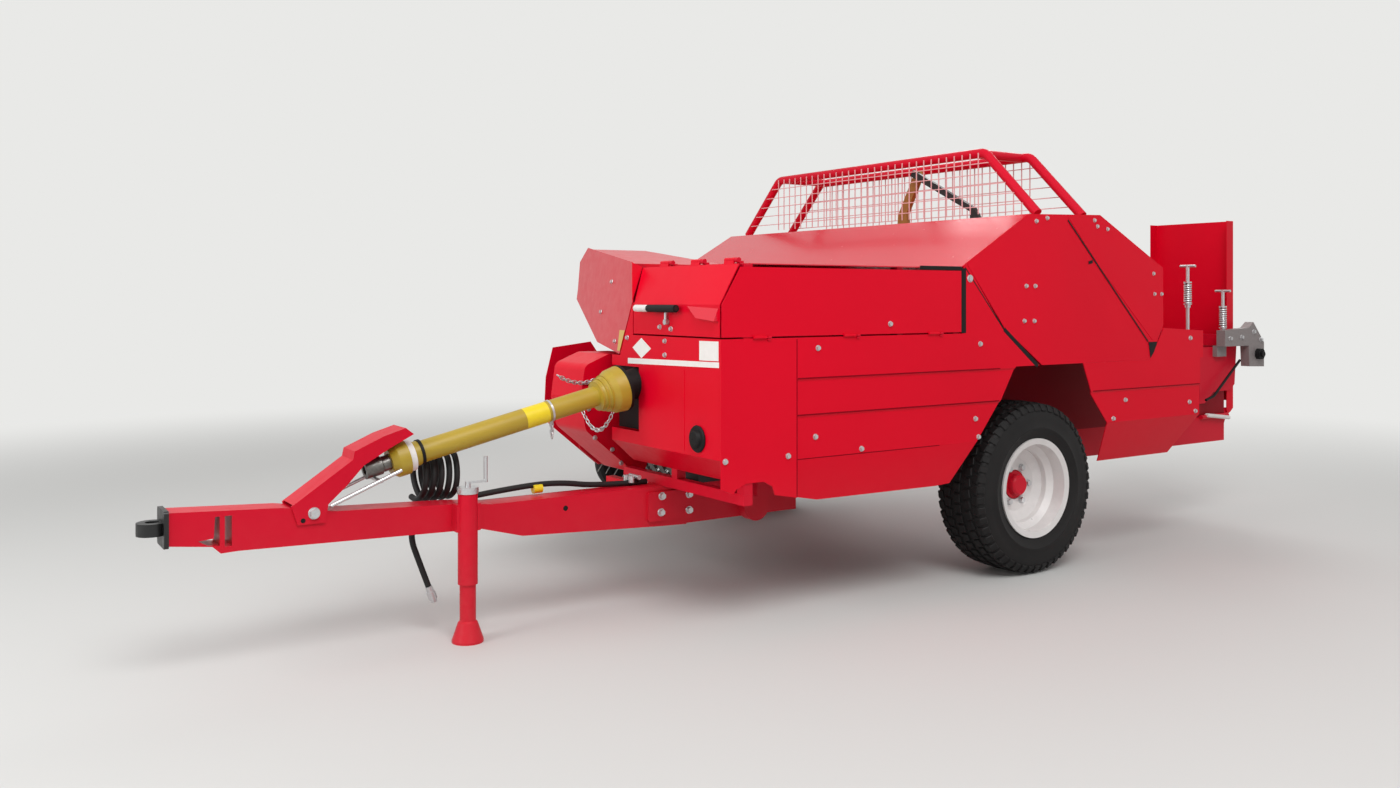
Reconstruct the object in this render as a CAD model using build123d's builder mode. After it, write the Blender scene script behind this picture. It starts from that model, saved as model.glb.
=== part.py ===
from build123d import *

import os
from math import atan2, cos, hypot, radians, sin

# Towed small square baler with a side pickup, parked on its stand.
# Frame: +X forward along the drawbar, +Y to the machine's left, +Z up, in millimetres,
# with the origin on the ground at the middle of the machine's length and width.
os.makedirs("parts", exist_ok=True)

# Stations along the machine: the axle first, then distances in front of it
axle_x = -655
front_x = axle_x + 1730
nose_x = axle_x + 3525

# Widths: outer faces of the side sheets, and the line of drawbar, shaft and bale chamber
body_half = 1105
line_y = 500
sheet = 4
gap = 6
seat = 0.3

# Wheels, 10.0/75-15.3
tyre_r = 380
tyre_crown_r = 373
tyre_half = 132
bead_half = 112.5
bead_r = 201.5
rim_flange_r = 219
rim_half = 121
well_r = 171
disc_t = -12
disc_wall = 8
disc_hole_r = 66
hub_r = 52
hub_flange_r = 100
wheel_y = 943
spindle_r = 25
fit = 0.05

# Axle and frame levels
axle_z = tyre_r
axle_size = 90
axle_end_y = 860
rail_z0 = axle_z + axle_size / 2
rail_z1 = 565
rail_w = 60
beam_w = 110
beam_top = 470
beam_bottom = 310
main_beam_rear = axle_x + 950
frame_joint_x = axle_x + 1515

# Bale chamber
chamber_half = 243
chamber_wall = 6
chamber_top = 955
chamber_front = axle_x + 900
chamber_rear = axle_x - 1960
feed_front = axle_x + 330
feed_rear = axle_x - 330
feed_z0 = 580
feed_z1 = 910
plunger_gap = 10

# Body heights
seam_z = 1072
deck_z = 1345
hood_crease_z = 1195
hood_back = 90
plate_z = 925
roof_foot_x = axle_x + 485
roof_foot_z = 1365
roof_top_x = axle_x + 106
roof_top_z = 1583
ridge_rear_x = axle_x - 385
ridge_rear_z = 1598
body_rear_x = axle_x - 862
body_rear_z = 1363


def keep(piece, name):
    """Label a finished piece and write its file."""
    piece.part.label = name
    export_step(piece.part, f"parts/{name}.step")


def slab(points, y_near, depth):
    """A side outline of (x, z) points, from y_near towards the machine's right."""
    with BuildPart() as piece:
        with BuildSketch(Plane.XZ.offset(-y_near)):
            with BuildLine():
                Polyline(*points, close=True)
            make_face()
        extrude(amount=depth)
    return piece


def rel(points):
    """Side outline points given from the axle, as stations of the machine."""
    return [(axle_x + x, z) for x, z in points]


def bar(x0, x1, y0, y1, z0, z1):
    """A straight square-edged bar between two corners."""
    with BuildPart() as piece:
        with BuildSketch(Plane.XY.offset(z0)):
            with Locations(((x0 + x1) / 2, (y0 + y1) / 2)):
                Rectangle(x1 - x0, y1 - y0)
        extrude(amount=z1 - z0)
    return piece


# Wheels: pressed rim with a deep well, tyre and hub turn together
rim_profile = [
    (-rim_half, rim_flange_r), (-113, rim_flange_r), (-110, 201), (-76, 197), (-56, well_r),
    (34, well_r), (54, 197), (110, 201), (113, rim_flange_r), (rim_half, rim_flange_r),
    (116, 193), (58, 189), (38, 163), (disc_t + 24, 163), (disc_t + disc_wall, 118),
    (disc_t + disc_wall, disc_hole_r), (disc_t, disc_hole_r), (disc_t, 122),
    (disc_t + 12, 163), (-60, 163), (-80, 189), (-116, 193),
]
hub_profile = [
    (-70, spindle_r + fit), (-70, hub_r), (disc_t - 12, hub_r), (disc_t - 12, hub_flange_r),
    (disc_t, hub_flange_r), (disc_t, disc_hole_r - 4), (disc_t + 10, disc_hole_r - 4),
    (disc_t + 10, 46), (24, 46), (32, 38), (32, 0), (12, 0), (12, spindle_r + fit),
]
for side, name in ((1, "left"), (-1, "right")):
    centre = (axle_x, side * wheel_y, axle_z)
    across = Plane(origin=centre, x_dir=(0, side, 0), z_dir=(1, 0, 0))
    turning = Axis(centre, (0, 1, 0))
    with BuildPart() as rim:
        with BuildSketch(across):
            with BuildLine():
                Polyline(*rim_profile, close=True)
            make_face()
        revolve(axis=turning)
    keep(rim, f"{name}_rim")
    with BuildPart() as tyre:
        with BuildSketch(across):
            with BuildLine():
                Line((-84, bead_r), (-bead_half + 3, bead_r))
                Line((-bead_half + 3, bead_r), (-bead_half, 222))
                ThreePointArc((-bead_half, 222), (-tyre_half, 288), (-118, 362))
                Line((-118, 362), (-108, tyre_crown_r))
                ThreePointArc((-108, tyre_crown_r), (0, tyre_r), (108, tyre_crown_r))
                Line((108, tyre_crown_r), (118, 362))
                ThreePointArc((118, 362), (tyre_half, 288), (bead_half, 222))
                Line((bead_half, 222), (bead_half - 3, bead_r))
                Line((bead_half - 3, bead_r), (84, bead_r))
                ThreePointArc((84, bead_r), (116, 288), (96, 350))
                Line((96, 350), (-96, 350))
                ThreePointArc((-96, 350), (-116, 288), (-84, bead_r))
            make_face()
        revolve(axis=turning)
    keep(tyre, f"{name}_tyre")
    with BuildPart() as hub:
        with BuildSketch(across):
            with BuildLine():
                Polyline(*hub_profile, close=True)
            make_face()
        revolve(axis=turning)
    keep(hub, f"{name}_hub")

# Axle: square beam with a turned spindle at each end
with BuildPart() as axle:
    with BuildSketch(Plane.XZ.offset(-axle_end_y)):
        with Locations((axle_x, axle_z)):
            Rectangle(axle_size, axle_size)
    extrude(amount=2 * axle_end_y)
    with BuildSketch(Plane.XZ.offset(-(wheel_y + 6))):
        with Locations((axle_x, axle_z)):
            Circle(spindle_r)
    extrude(amount=2 * (wheel_y + 6))
keep(axle, "axle")

# Drawbar: box beam that rises to the hitch, pierced behind the eye
drawbar_outline = rel([
    (3440, 550), (3100, 532), (2918, 503), (2490, 484), (2357, beam_top), (1515, beam_top),
    (1515, 306), (1630, beam_bottom), (2238, 341), (2400, 385), (2490, 388), (3233, 408),
    (3287, 406), (3312, 430), (3440, 446),
])
drawbar = slab(drawbar_outline, line_y + beam_w / 2, beam_w)
window = slab(rel([(3275, 426), (3275, 524), (3253, 524), (3253, 426)]), line_y + beam_w, 2 * beam_w)
wedge = slab(rel([(3355, 452), (3308, 456), (3304, 524), (3290, 524), (3290, 430), (3325, 434)]),
             line_y + beam_w, 2 * beam_w)
with drawbar:
    add(window.part, mode=Mode.SUBTRACT)
    add(wedge.part, mode=Mode.SUBTRACT)
keep(drawbar, "drawbar")

# Hitch: flange plate with a forged ring eye
eye_r = 46
eye_hole_r = 20.5
eye_z = 498
eye_thick = 40
flange_x = axle_x + 3440
flange_t = 14
with BuildPart() as hitch:
    with BuildSketch(Plane.YZ.offset(flange_x)):
        with Locations((line_y, eye_z)):
            RectangleRounded(130, 118, 10)
    extrude(amount=flange_t)
    with BuildSketch(Plane.XY.offset(eye_z - eye_thick / 2)):
        with Locations((nose_x - eye_r, line_y)):
            Circle(eye_r)
        with Locations((flange_x + 20, line_y)):
            Rectangle(40, 62)
        with Locations((flange_x - 20, line_y)):
            Rectangle(40, 140, mode=Mode.SUBTRACT)
    extrude(amount=eye_thick)
    with BuildSketch(Plane.XY.offset(eye_z - eye_thick / 2)):
        with Locations((nose_x - eye_r, line_y)):
            Circle(eye_hole_r)
    extrude(amount=eye_thick, mode=Mode.SUBTRACT)
keep(hitch, "hitch_eye")

# Main beam under the body, bolted to the drawbar through a plate on each side
main_beam = bar(main_beam_rear, frame_joint_x - seat, line_y - beam_w / 2, line_y + beam_w / 2,
                beam_bottom, beam_top)

joint_plate_t = 12
with BuildPart() as joint_plates:
    for y0 in (line_y + beam_w / 2 + joint_plate_t, line_y - beam_w / 2):
        with BuildSketch(Plane.XZ.offset(-y0)):
            with Locations((frame_joint_x + 62, 392)):
                RectangleRounded(250, 116, 12)
        extrude(amount=joint_plate_t)
keep(joint_plates, "joint_plates")

# Frame rails under the bale chamber, cross plates and the rail under the feed platform
chamber_y0 = line_y - chamber_half
chamber_y1 = line_y + chamber_half
rail_front = axle_x + 1300
with BuildPart() as chamber_rails:
    with BuildSketch(Plane.XY.offset(rail_z0)):
        with Locations(((rail_front + chamber_rear) / 2, chamber_y0 + rail_w / 2),
                       ((rail_front + chamber_rear) / 2, chamber_y1 - rail_w / 2)):
            Rectangle(rail_front - chamber_rear, rail_w)
    extrude(amount=rail_z1 - rail_z0)

with BuildPart() as saddles:
    with BuildSketch(Plane.XY.offset(beam_top)):
        with Locations((rail_front - 60, line_y), (main_beam_rear + 40, line_y)):
            Rectangle(80, 2 * (chamber_half - rail_w))
    extrude(amount=rail_z1 - beam_top)

boss_r = 64
boss_x = axle_x + 1197
boss_z = 357
with BuildPart() as boss:
    with BuildSketch(Plane.XZ.offset(-(line_y + beam_w / 2))):
        with Locations((boss_x, boss_z)):
            Circle(boss_r)
    extrude(amount=-50)
with main_beam:
    add(boss.part)
keep(main_beam, "main_beam")

# Stand: round tube clamped to the drawbar, with a leg that slides up inside it
jack_x = axle_x + 2469
jack_r = 35
jack_bore_r = 29
leg_r = 28.7
jack_y = line_y + beam_w / 2 + jack_r + 3
jack_bottom = 205
jack_top = 526
jack_travel = 120
leg_top = jack_top - 12 - jack_travel
foot_r = 56
with BuildPart() as jack_tube:
    with BuildSketch(Plane.XY.offset(jack_bottom)):
        with Locations((jack_x, jack_y)):
            Circle(jack_r)
    extrude(amount=jack_top - jack_bottom)
    with BuildSketch(Plane.XZ.offset(-(jack_y + 10))):
        with Locations((jack_x, 440)):
            Rectangle(2 * jack_r + 20, 96)
    extrude(amount=jack_y + 10 - (line_y + beam_w / 2))
    with BuildSketch(Plane.XY.offset(jack_bottom)):
        with Locations((jack_x, jack_y)):
            Circle(jack_bore_r)
    extrude(amount=jack_top - 6 - jack_bottom, mode=Mode.SUBTRACT)
keep(jack_tube, "jack_tube")

with BuildPart() as jack_leg:
    with BuildSketch(Plane.XZ.offset(-jack_y)):
        with BuildLine():
            Polyline((jack_x, 0), (jack_x + foot_r, 0), (jack_x + foot_r, 8), (jack_x + leg_r + 6, 70),
                     (jack_x + leg_r, 76), (jack_x + leg_r, leg_top), (jack_x, leg_top), close=True)
        make_face()
    revolve(axis=Axis((jack_x, jack_y, 0), (0, 0, 1)))
keep(jack_leg, "jack_leg")

# Gear head and crank of the stand
crank_z = 560
with BuildPart() as crank:
    with BuildSketch(Plane.XY.offset(jack_top)):
        with Locations((jack_x, jack_y)):
            Circle(jack_r + 3)
    extrude(amount=22)
    with BuildSketch(Plane.XY.offset(jack_top + 22)):
        with Locations((jack_x, jack_y)):
            Circle(10)
    extrude(amount=crank_z - jack_top - 16)
    with BuildSketch(Plane.XY.offset(crank_z)):
        with Locations((jack_x - 34, jack_y)):
            SlotCenterToCenter(68, 16)
    extrude(amount=8)
    with BuildSketch(Plane.XY.offset(crank_z + 8)):
        with Locations((jack_x - 68, jack_y)):
            Circle(7)
    extrude(amount=85)
keep(crank, "jack_crank")

# Shaft rest: two side plates that straddle the drawbar, joined by a top web
rest_t = 8
rest_half = beam_w / 2 + rest_t
rest_outline = rel([
    (3070, 534), (2868, 672), (2862, 700), (2760, 745), (2684, 768), (2655, 745), (2740, 702),
    (2830, 650), (2890, 585), (2950, 530), (2960, 470), (3050, 470),
])
rest = slab(rest_outline, line_y + rest_half, 2 * rest_half)
hollow = slab(rel([(3090, 542), (3056, 536), (2862, 664), (2854, 692), (2756, 737), (2684, 759), (2600, 745),
                   (2600, 400), (3090, 400)]), line_y + beam_w / 2, beam_w)
with rest:
    add(hollow.part, mode=Mode.SUBTRACT)
keep(rest, "shaft_rest")

# Drive shaft: parked on the rest, sloping up to the gearbox
shaft_low = Vector(axle_x + 2810, line_y, 625)
shaft_high = Vector(axle_x + 1690, line_y, 886)
shaft_run = shaft_high - shaft_low
shaft_len = shaft_run.length
shaft_r = 28
yoke_r = 34
guard_bore_r = 28.5
along = Plane(origin=shaft_low, x_dir=shaft_run, z_dir=(0, -1, 0))
shaft_axis = Axis(shaft_low, shaft_run)
stub_x = axle_x + 1500
yoke_bore = 56
yoke_bore_r = 17.5
with BuildPart() as shaft:
    with BuildSketch(along):
        with BuildLine():
            Polyline((yoke_bore, 0), (yoke_bore, yoke_bore_r), (0, yoke_bore_r), (0, yoke_r), (58, yoke_r),
                     (62, shaft_r), (shaft_len - 70, shaft_r), (shaft_len - 66, yoke_r), (shaft_len, yoke_r),
                     (shaft_len, 0), close=True)
        make_face()
    revolve(axis=shaft_axis)
    with BuildSketch(Plane.YZ.offset(stub_x)):
        with Locations((line_y, shaft_high.Z)):
            Circle(24)
    extrude(amount=shaft_high.X - stub_x)
keep(shaft, "drive_shaft")

cone_end = 1045
guard_profile = [
    (90, guard_bore_r), (90, 44), (112, 62), (152, 62), (152, 52), (172, 50), (172, 44), (204, 44),
    (204, 40), (930, 40), (934, 54), (962, 64), (1000, 86), (cone_end, 92), (cone_end, 84),
    (1000, 78), (962, 56), (950, guard_bore_r),
]
with BuildPart() as guard:
    with BuildSketch(along):
        with BuildLine():
            Polyline(*guard_profile, close=True)
        make_face()
    revolve(axis=shaft_axis)
keep(guard, "shaft_guard")

# Stay that holds the parked shaft: a bent rod outside the rest's plates, with a cross pin
stay_r = 7
stay_y = rest_half + stay_r
stay_low = (axle_x + 2945, 525)
stay_high = (axle_x + 2702, 624)
pin_x = axle_x + 2772
shaft_slope = atan2(shaft_run.Z, -shaft_run.X)
shaft_z = shaft_low.Z + (shaft_low.X - pin_x) * shaft_run.Z / -shaft_run.X
pin_z = shaft_z - (yoke_r + stay_r + seat) / cos(shaft_slope)
with BuildPart() as stay:
    for s in (1, -1):
        with BuildSketch(Plane(origin=(stay_low[0], line_y + s * stay_y, stay_low[1]),
                               z_dir=(stay_high[0] - stay_low[0], 0, stay_high[1] - stay_low[1]))):
            Circle(stay_r)
        extrude(amount=hypot(stay_high[0] - stay_low[0], stay_high[1] - stay_low[1]))
    with BuildSketch(Plane.XZ.offset(-(line_y + stay_y))):
        with Locations((pin_x, pin_z)):
            Circle(stay_r)
    extrude(amount=2 * stay_y)
keep(stay, "rest_stay")

# Gearbox and flywheel in one block on the main beam
gear_z = shaft_high.Z
with BuildPart() as gearbox:
    with BuildSketch(Plane.XY.offset(beam_top)):
        with Locations((axle_x + 1400, line_y)):
            Rectangle(140, 150)
    extrude(amount=300)
    with BuildSketch(Plane.YZ.offset(axle_x + 1140)):
        with Locations((line_y, gear_z)):
            RectangleRounded(300, 320, 40)
    extrude(amount=300)
    with BuildSketch(Plane.YZ.offset(axle_x + 1440)):
        with Locations((line_y, gear_z)):
            Circle(290)
    extrude(amount=60)
keep(gearbox, "gearbox")

# Front cross tube and posts
post_x0 = axle_x + 1588
post_x1 = axle_x + 1628
cross_z1 = beam_top + 40
guard_y0 = -25
guard_y1 = 245
inner_y = body_half - sheet
front_cross = bar(post_x0, post_x1, guard_y1 + seat, inner_y, beam_top, cross_z1)
with BuildPart() as posts:
    with BuildSketch(Plane.XY.offset(cross_z1 + seat)):
        with Locations(((post_x0 + post_x1) / 2, inner_y - 20), ((post_x0 + post_x1) / 2, 640)):
            Rectangle(40, 40)
    extrude(amount=deck_z - sheet - cross_z1 - seat)
    add(front_cross.part)
keep(posts, "front_frame")

# Front shield: one folded sheet, with the corner wrapped round to the left side
opening_y0 = 327
opening_y1 = 540
opening_z0 = 691
opening_z1 = 946
chin_x = post_x1
chin_z = 548
corner_x = axle_x + 1386
with BuildPart() as front_shield:
    with BuildSketch(Plane.YZ.offset(front_x - sheet)):
        with BuildLine():
            Polyline((body_half, 640), (body_half, seam_z), (494, seam_z), (494, 1203),
                     (392, 988), (opening_y0, 988), (opening_y0, 640), close=True)
        make_face()
        with BuildLine():
            Polyline((opening_y0, opening_z0), (opening_y1, opening_z0), (opening_y1, opening_z1),
                     (opening_y0, opening_z1), close=True)
        make_face(mode=Mode.SUBTRACT)
    extrude(amount=sheet)
    with BuildSketch(Plane.XZ.offset(-body_half)):
        with BuildLine():
            Polyline((front_x, 540), (front_x, seam_z), (corner_x, seam_z), (corner_x, 478),
                     (axle_x + 1489, 498), (axle_x + 1500, 530), (axle_x + 1540, 551),
                     (axle_x + 1620, 551), (axle_x + 1662, 535), (axle_x + 1677, 517), close=True)
        make_face()
    extrude(amount=sheet)
    with BuildSketch(Plane.XZ.offset(-inner_y)):
        with BuildLine():
            Polyline((front_x, 640), (front_x - sheet, 644), (chin_x, chin_z + 6), (chin_x, chin_z),
                     close=True)
        make_face()
    extrude(amount=inner_y - opening_y0)
    with BuildSketch(Plane.XY.offset(seam_z - sheet)):
        with Locations(((chin_x + front_x) / 2, (440 + inner_y) / 2)):
            Rectangle(front_x - chin_x, inner_y - 440)
    extrude(amount=sheet)
keep(front_shield, "front_shield")

# Left side: stepped lower panel, flap over the twine box, gable plate and rear panel
step_1 = 915
step_2 = 778
bend_z = 618
side_outline = rel([
    (1386 - seat, 478), (1386 - seat, seam_z), (504, seam_z), (504, deck_z + 8), (489, roof_foot_z),
    (267, 1091), (30, plate_z), (184, plate_z), (272, 786), (555, 454), (636, 449), (1265, 455),
])


def pressed(outline, profile, side):
    """A sheet with the (y, z) profile of its outer face, trimmed to a side outline of (x, z) points."""
    outer = [(side * y, z) for y, z in profile]
    inner = [(side * (y - sheet), z) for y, z in reversed(profile)]
    stations = [x for x, z in outline]
    with BuildPart() as piece:
        with BuildSketch(Plane.YZ.offset(min(stations))):
            with BuildLine():
                Polyline(*outer, *inner, close=True)
            make_face()
        extrude(amount=max(stations) - min(stations))
        with BuildSketch(Plane.XZ.offset(-body_half - 50)):
            with BuildLine():
                Polyline(*outline, close=True)
            make_face()
        extrude(amount=2 * body_half + 100, mode=Mode.INTERSECT)
    return piece


side_profile = [
    (body_half - 34, 440), (body_half - 10, bend_z), (body_half - 10, step_2 - 4),
    (body_half - 5, step_2 + 4), (body_half - 5, step_1 - 4), (body_half, step_1 + 4),
    (body_half, roof_foot_z + 10),
]
side_panel = pressed(side_outline, side_profile, 1)
keep(side_panel, "left_side_panel")

gable_outline = [
    (axle_x + 488, roof_foot_z), (roof_top_x, roof_top_z), (ridge_rear_x, ridge_rear_z),
    (body_rear_x, body_rear_z), (body_rear_x, 1089), (axle_x - 760, plate_z + seat),
    (axle_x + 14, plate_z + seat), (axle_x + 256, 1091),
]
left_gable = slab(gable_outline, body_half, sheet)
keep(left_gable, "left_gable")

right_outline = [
    (roof_foot_x, roof_foot_z), (roof_top_x, roof_top_z), (ridge_rear_x, ridge_rear_z),
    (body_rear_x, body_rear_z), (body_rear_x, plate_z + seat), (axle_x + 880, plate_z + seat),
    (axle_x + 1000, 1040), (axle_x + 1000, deck_z - sheet), (axle_x + 520, deck_z - sheet),
]
right_gable = slab(right_outline, -inner_y, sheet)

skirt_z = 645
skirt_in = 90
skirt_z0 = 455
rear_step = 791
rear_profile = [
    (body_half - 5 - skirt_in, skirt_z0), (body_half - 5, skirt_z), (body_half - 5, rear_step - 4),
    (body_half, rear_step + 4), (body_half, 1090),
]
arch_rear = [(-1035, skirt_z0), (-490, skirt_z0), (-443, skirt_z), (-328, 779), (-265, plate_z)]
left_rear = pressed(rel([
    (-760, plate_z), (-862 - gap, 1075), (-1190, 1058), (-1190, plate_z), (-1165, plate_z), (-1165, skirt_z),
] + arch_rear), rear_profile, 1)
keep(left_rear, "left_rear_panel")
right_rear_outline = rel([(-862, plate_z), (-862, skirt_z), (-800, skirt_z0)] + arch_rear[1:])
right_rear = pressed(right_rear_outline, rear_profile, -1)
with right_gable:
    add(right_rear.part)
keep(right_gable, "right_panels")

# Flap over the twine box, hinged along its lower edge
hinge_y = body_half + 4.5
flap_hinge_z = seam_z + 3
flap_gap = 14
flap_outline = [
    (front_x - 4, seam_z + gap), (front_x - 4, hood_crease_z), (front_x - hood_back + 3, deck_z - flap_gap),
    (axle_x + 504 + flap_gap, deck_z - flap_gap), (axle_x + 504 + flap_gap, seam_z + gap),
]
flap = slab(flap_outline, body_half, sheet)
with BuildPart() as flap_knuckles:
    for x in (front_x - 200, axle_x + 1100, axle_x + 650):
        with BuildSketch(Plane.YZ.offset(x)):
            with Locations((hinge_y, flap_hinge_z)):
                Circle(4.5)
            with Locations((hinge_y - 2, flap_hinge_z + 5)):
                Rectangle(5, 8)
            with Locations((hinge_y, flap_hinge_z)):
                Circle(2 + fit, mode=Mode.SUBTRACT)
        extrude(amount=60)
with flap:
    add(flap_knuckles.part)
keep(flap, "twine_flap")
with BuildPart() as flap_pins:
    for x in (front_x - 200, axle_x + 1100, axle_x + 650):
        with BuildSketch(Plane.YZ.offset(x - 20)):
            with Locations((hinge_y, flap_hinge_z)):
                Circle(2)
        extrude(amount=80)
        with BuildSketch(Plane.YZ.offset(x - 20)):
            with Locations((hinge_y, flap_hinge_z)):
                Circle(4.5)
            with Locations((hinge_y - 2, flap_hinge_z - 7)):
                Rectangle(5, 9)
        extrude(amount=14)

# Deck, roof slopes and rear wall
deck_front = post_x1
right_front = axle_x + 1000
with BuildPart() as deck:
    with BuildSketch(Plane.XY.offset(deck_z - sheet)):
        with BuildLine():
            Polyline((axle_x + 520, -inner_y), (axle_x + 520, inner_y - gap), (deck_front, inner_y - gap),
                     (deck_front, 418), (right_front, -388), (right_front, -inner_y), close=True)
        make_face()
    extrude(amount=sheet)

with BuildPart() as roof:
    with BuildSketch(Plane.XZ.offset(-inner_y)):
        with BuildLine():
            Polyline((axle_x + 520 - seat, deck_z), (roof_foot_x, roof_foot_z), (roof_top_x, roof_top_z),
                     (ridge_rear_x + seat, ridge_rear_z), (ridge_rear_x + seat, ridge_rear_z - 4),
                     (roof_top_x + 1, roof_top_z - 4), (roof_foot_x, roof_foot_z - 5),
                     (axle_x + 520 - seat, deck_z - 4), close=True)
        make_face()
    extrude(amount=2 * inner_y)

with BuildPart() as rear_roof:
    with BuildSketch(Plane.XZ.offset(-inner_y)):
        with BuildLine():
            Polyline((ridge_rear_x, ridge_rear_z), (body_rear_x, body_rear_z), (body_rear_x, 962),
                     (body_rear_x + 4, 962), (body_rear_x + 4, body_rear_z - 3),
                     (ridge_rear_x, ridge_rear_z - 5), close=True)
        make_face()
    extrude(amount=2 * inner_y)
with roof:
    add(rear_roof.part)
    add(deck.part)
keep(roof, "roof")

# Feed hood on the right of the front: swept facet under a raised top
facet = [
    Vector(axle_x + 1454, -388, 1457), Vector(axle_x + 1426, -521, 1394), Vector(axle_x + 1461, -487, 1209),
    Vector(axle_x + 1620, 0, 1026), Vector(axle_x + 1730, 385, 992), Vector(axle_x + 1730, 488, 1203),
    Vector(axle_x + 1689, 418, 1365),
]
facet_plane = Plane(origin=facet[4], x_dir=facet[5] - facet[4],
                    z_dir=(facet[5] - facet[4]).cross(facet[2] - facet[4]))
flat = [facet_plane.to_local_coords(p) for p in facet]
with BuildPart() as feed_facet:
    with BuildSketch(facet_plane):
        with BuildLine():
            Polyline(*[(p.X, p.Y) for p in flat], close=True)
        make_face()
    extrude(amount=-sheet)

# The facet's run per millimetre of width and of height, and the cosine of its turn
facet_sweep = 0.2754
facet_lean = 0.1358
facet_cosine = 0.956
facet_foot_y = 384


def facet_back(y, z):
    """Station of the facet's inner face, less the seat gap."""
    front = facet[4].X - facet_sweep * (facet_foot_y - y) - facet_lean * (z - facet[4].Z)
    return front - (sheet + seat) / facet_cosine


# Hump sections behind the facet: y, top level, then how far its top and foot reach from the axle
hump_sections = [(405, 1359, 1200, 1000), (-388, 1450, 1137, 930), (-517, 1388, 1137, 930)]
with BuildPart() as hump:
    for sections in zip(hump_sections, hump_sections[1:]):
        for y, top, rear_top, rear_foot in sections:
            with BuildSketch(Plane.XZ.offset(-y)):
                with BuildLine():
                    Polyline((facet_back(y, deck_z), deck_z), (facet_back(y, top), top),
                             (axle_x + rear_top, top), (axle_x + rear_foot, deck_z), close=True)
                make_face()
        loft(ruled=True)
    with BuildSketch(Plane.XZ.offset(513)):
        with BuildLine():
            Polyline((right_front + seat, 1040), (right_front + seat, deck_z),
                     (facet_back(-517, deck_z), deck_z), (facet_back(-517, 1212), 1212), close=True)
        make_face()
    extrude(amount=sheet)
with hump:
    add(feed_facet.part)
keep(hump, "feed_hood")

# Front hood: folded sheet hinged along its top edge
hood_hinge_x = axle_x + 1634
hood_hinge_z = deck_z + 12
knuckle_r = 9
hinge_pin_r = 5
hood_y1 = inner_y - gap
hood_y0 = 428
hood_trim_y = 500
knuckle_len = 60
knuckle_ys = [hood_y1 - 35, (hood_y1 - 35 + 620) / 2, 620]
with BuildPart() as hood:
    with BuildSketch(Plane.XZ.offset(-hood_y1)):
        with BuildLine():
            Polyline((front_x, seam_z + gap), (front_x, hood_crease_z), (front_x - 85, deck_z - 2),
                     (front_x - 90, deck_z - 2), (front_x - sheet, hood_crease_z - 2),
                     (front_x - sheet, seam_z + gap), close=True)
        make_face()
    extrude(amount=hood_y1 - hood_y0)
    for y in knuckle_ys:
        with BuildSketch(Plane.XZ.offset(-y)):
            with BuildLine():
                Polyline((front_x - 91, deck_z - 2), (front_x - 83, deck_z - 6),
                         (hood_hinge_x + 8, hood_hinge_z), (hood_hinge_x, hood_hinge_z), close=True)
            make_face()
            with Locations((hood_hinge_x, hood_hinge_z)):
                Circle(knuckle_r)
                Circle(hinge_pin_r + fit, mode=Mode.SUBTRACT)
        extrude(amount=knuckle_len)
    with BuildSketch(Plane.YZ.offset(front_x - 150)):
        with BuildLine():
            Polyline((hood_y0 - 20, seam_z), (hood_trim_y, seam_z), (hood_trim_y, 1203),
                     (hood_y0 + 2, deck_z), (hood_y0 - 20, deck_z), close=True)
        make_face()
    extrude(amount=200, mode=Mode.SUBTRACT)
keep(hood, "front_hood")

with BuildPart() as hood_hinges:
    for y in knuckle_ys:
        with BuildSketch(Plane.XZ.offset(-(y + 22))):
            with Locations((hood_hinge_x, hood_hinge_z)):
                Circle(knuckle_r)
            with Locations((hood_hinge_x - 12, deck_z + 4)):
                Rectangle(18, 8)
        extrude(amount=20)
        with BuildSketch(Plane.XZ.offset(-(y + 10))):
            with Locations((hood_hinge_x, hood_hinge_z)):
                Circle(hinge_pin_r)
        extrude(amount=knuckle_len)

# Pull handle of the hood
latch_z = 1179
with BuildPart() as latch:
    with BuildSketch(Plane.YZ.offset(front_x)):
        with Locations((705, latch_z)):
            Circle(14)
    extrude(amount=26)
    with BuildSketch(Plane.XZ.offset(-853)):
        with Locations((front_x + 26, latch_z)):
            Circle(9)
    extrude(amount=296)
keep(latch, "hood_latch")

# Cross beams on the bale chamber that carry the body, with posts up to deck and roof
beam_z1 = chamber_top + 40
beam_stations = (axle_x + 860, axle_x + 540, axle_x - 100, axle_x - 700)
with BuildPart() as body_beams:
    with BuildSketch(Plane.XY.offset(chamber_top)):
        with Locations(*[(x, 0) for x in beam_stations]):
            Rectangle(40, 2 * inner_y)
    extrude(amount=beam_z1 - chamber_top)
post_y = inner_y - 20
with BuildPart() as body_posts:
    for x, top in ((axle_x + 860, deck_z - sheet), (axle_x + 545, deck_z - sheet), (axle_x - 100, 1584)):
        with BuildSketch(Plane.XY.offset(beam_z1 + seat)):
            with Locations((x, post_y), (x, -post_y)):
                Rectangle(30, 40)
        extrude(amount=top - beam_z1 - seat)
    add(body_beams.part)
keep(body_posts, "body_frame")

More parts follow.
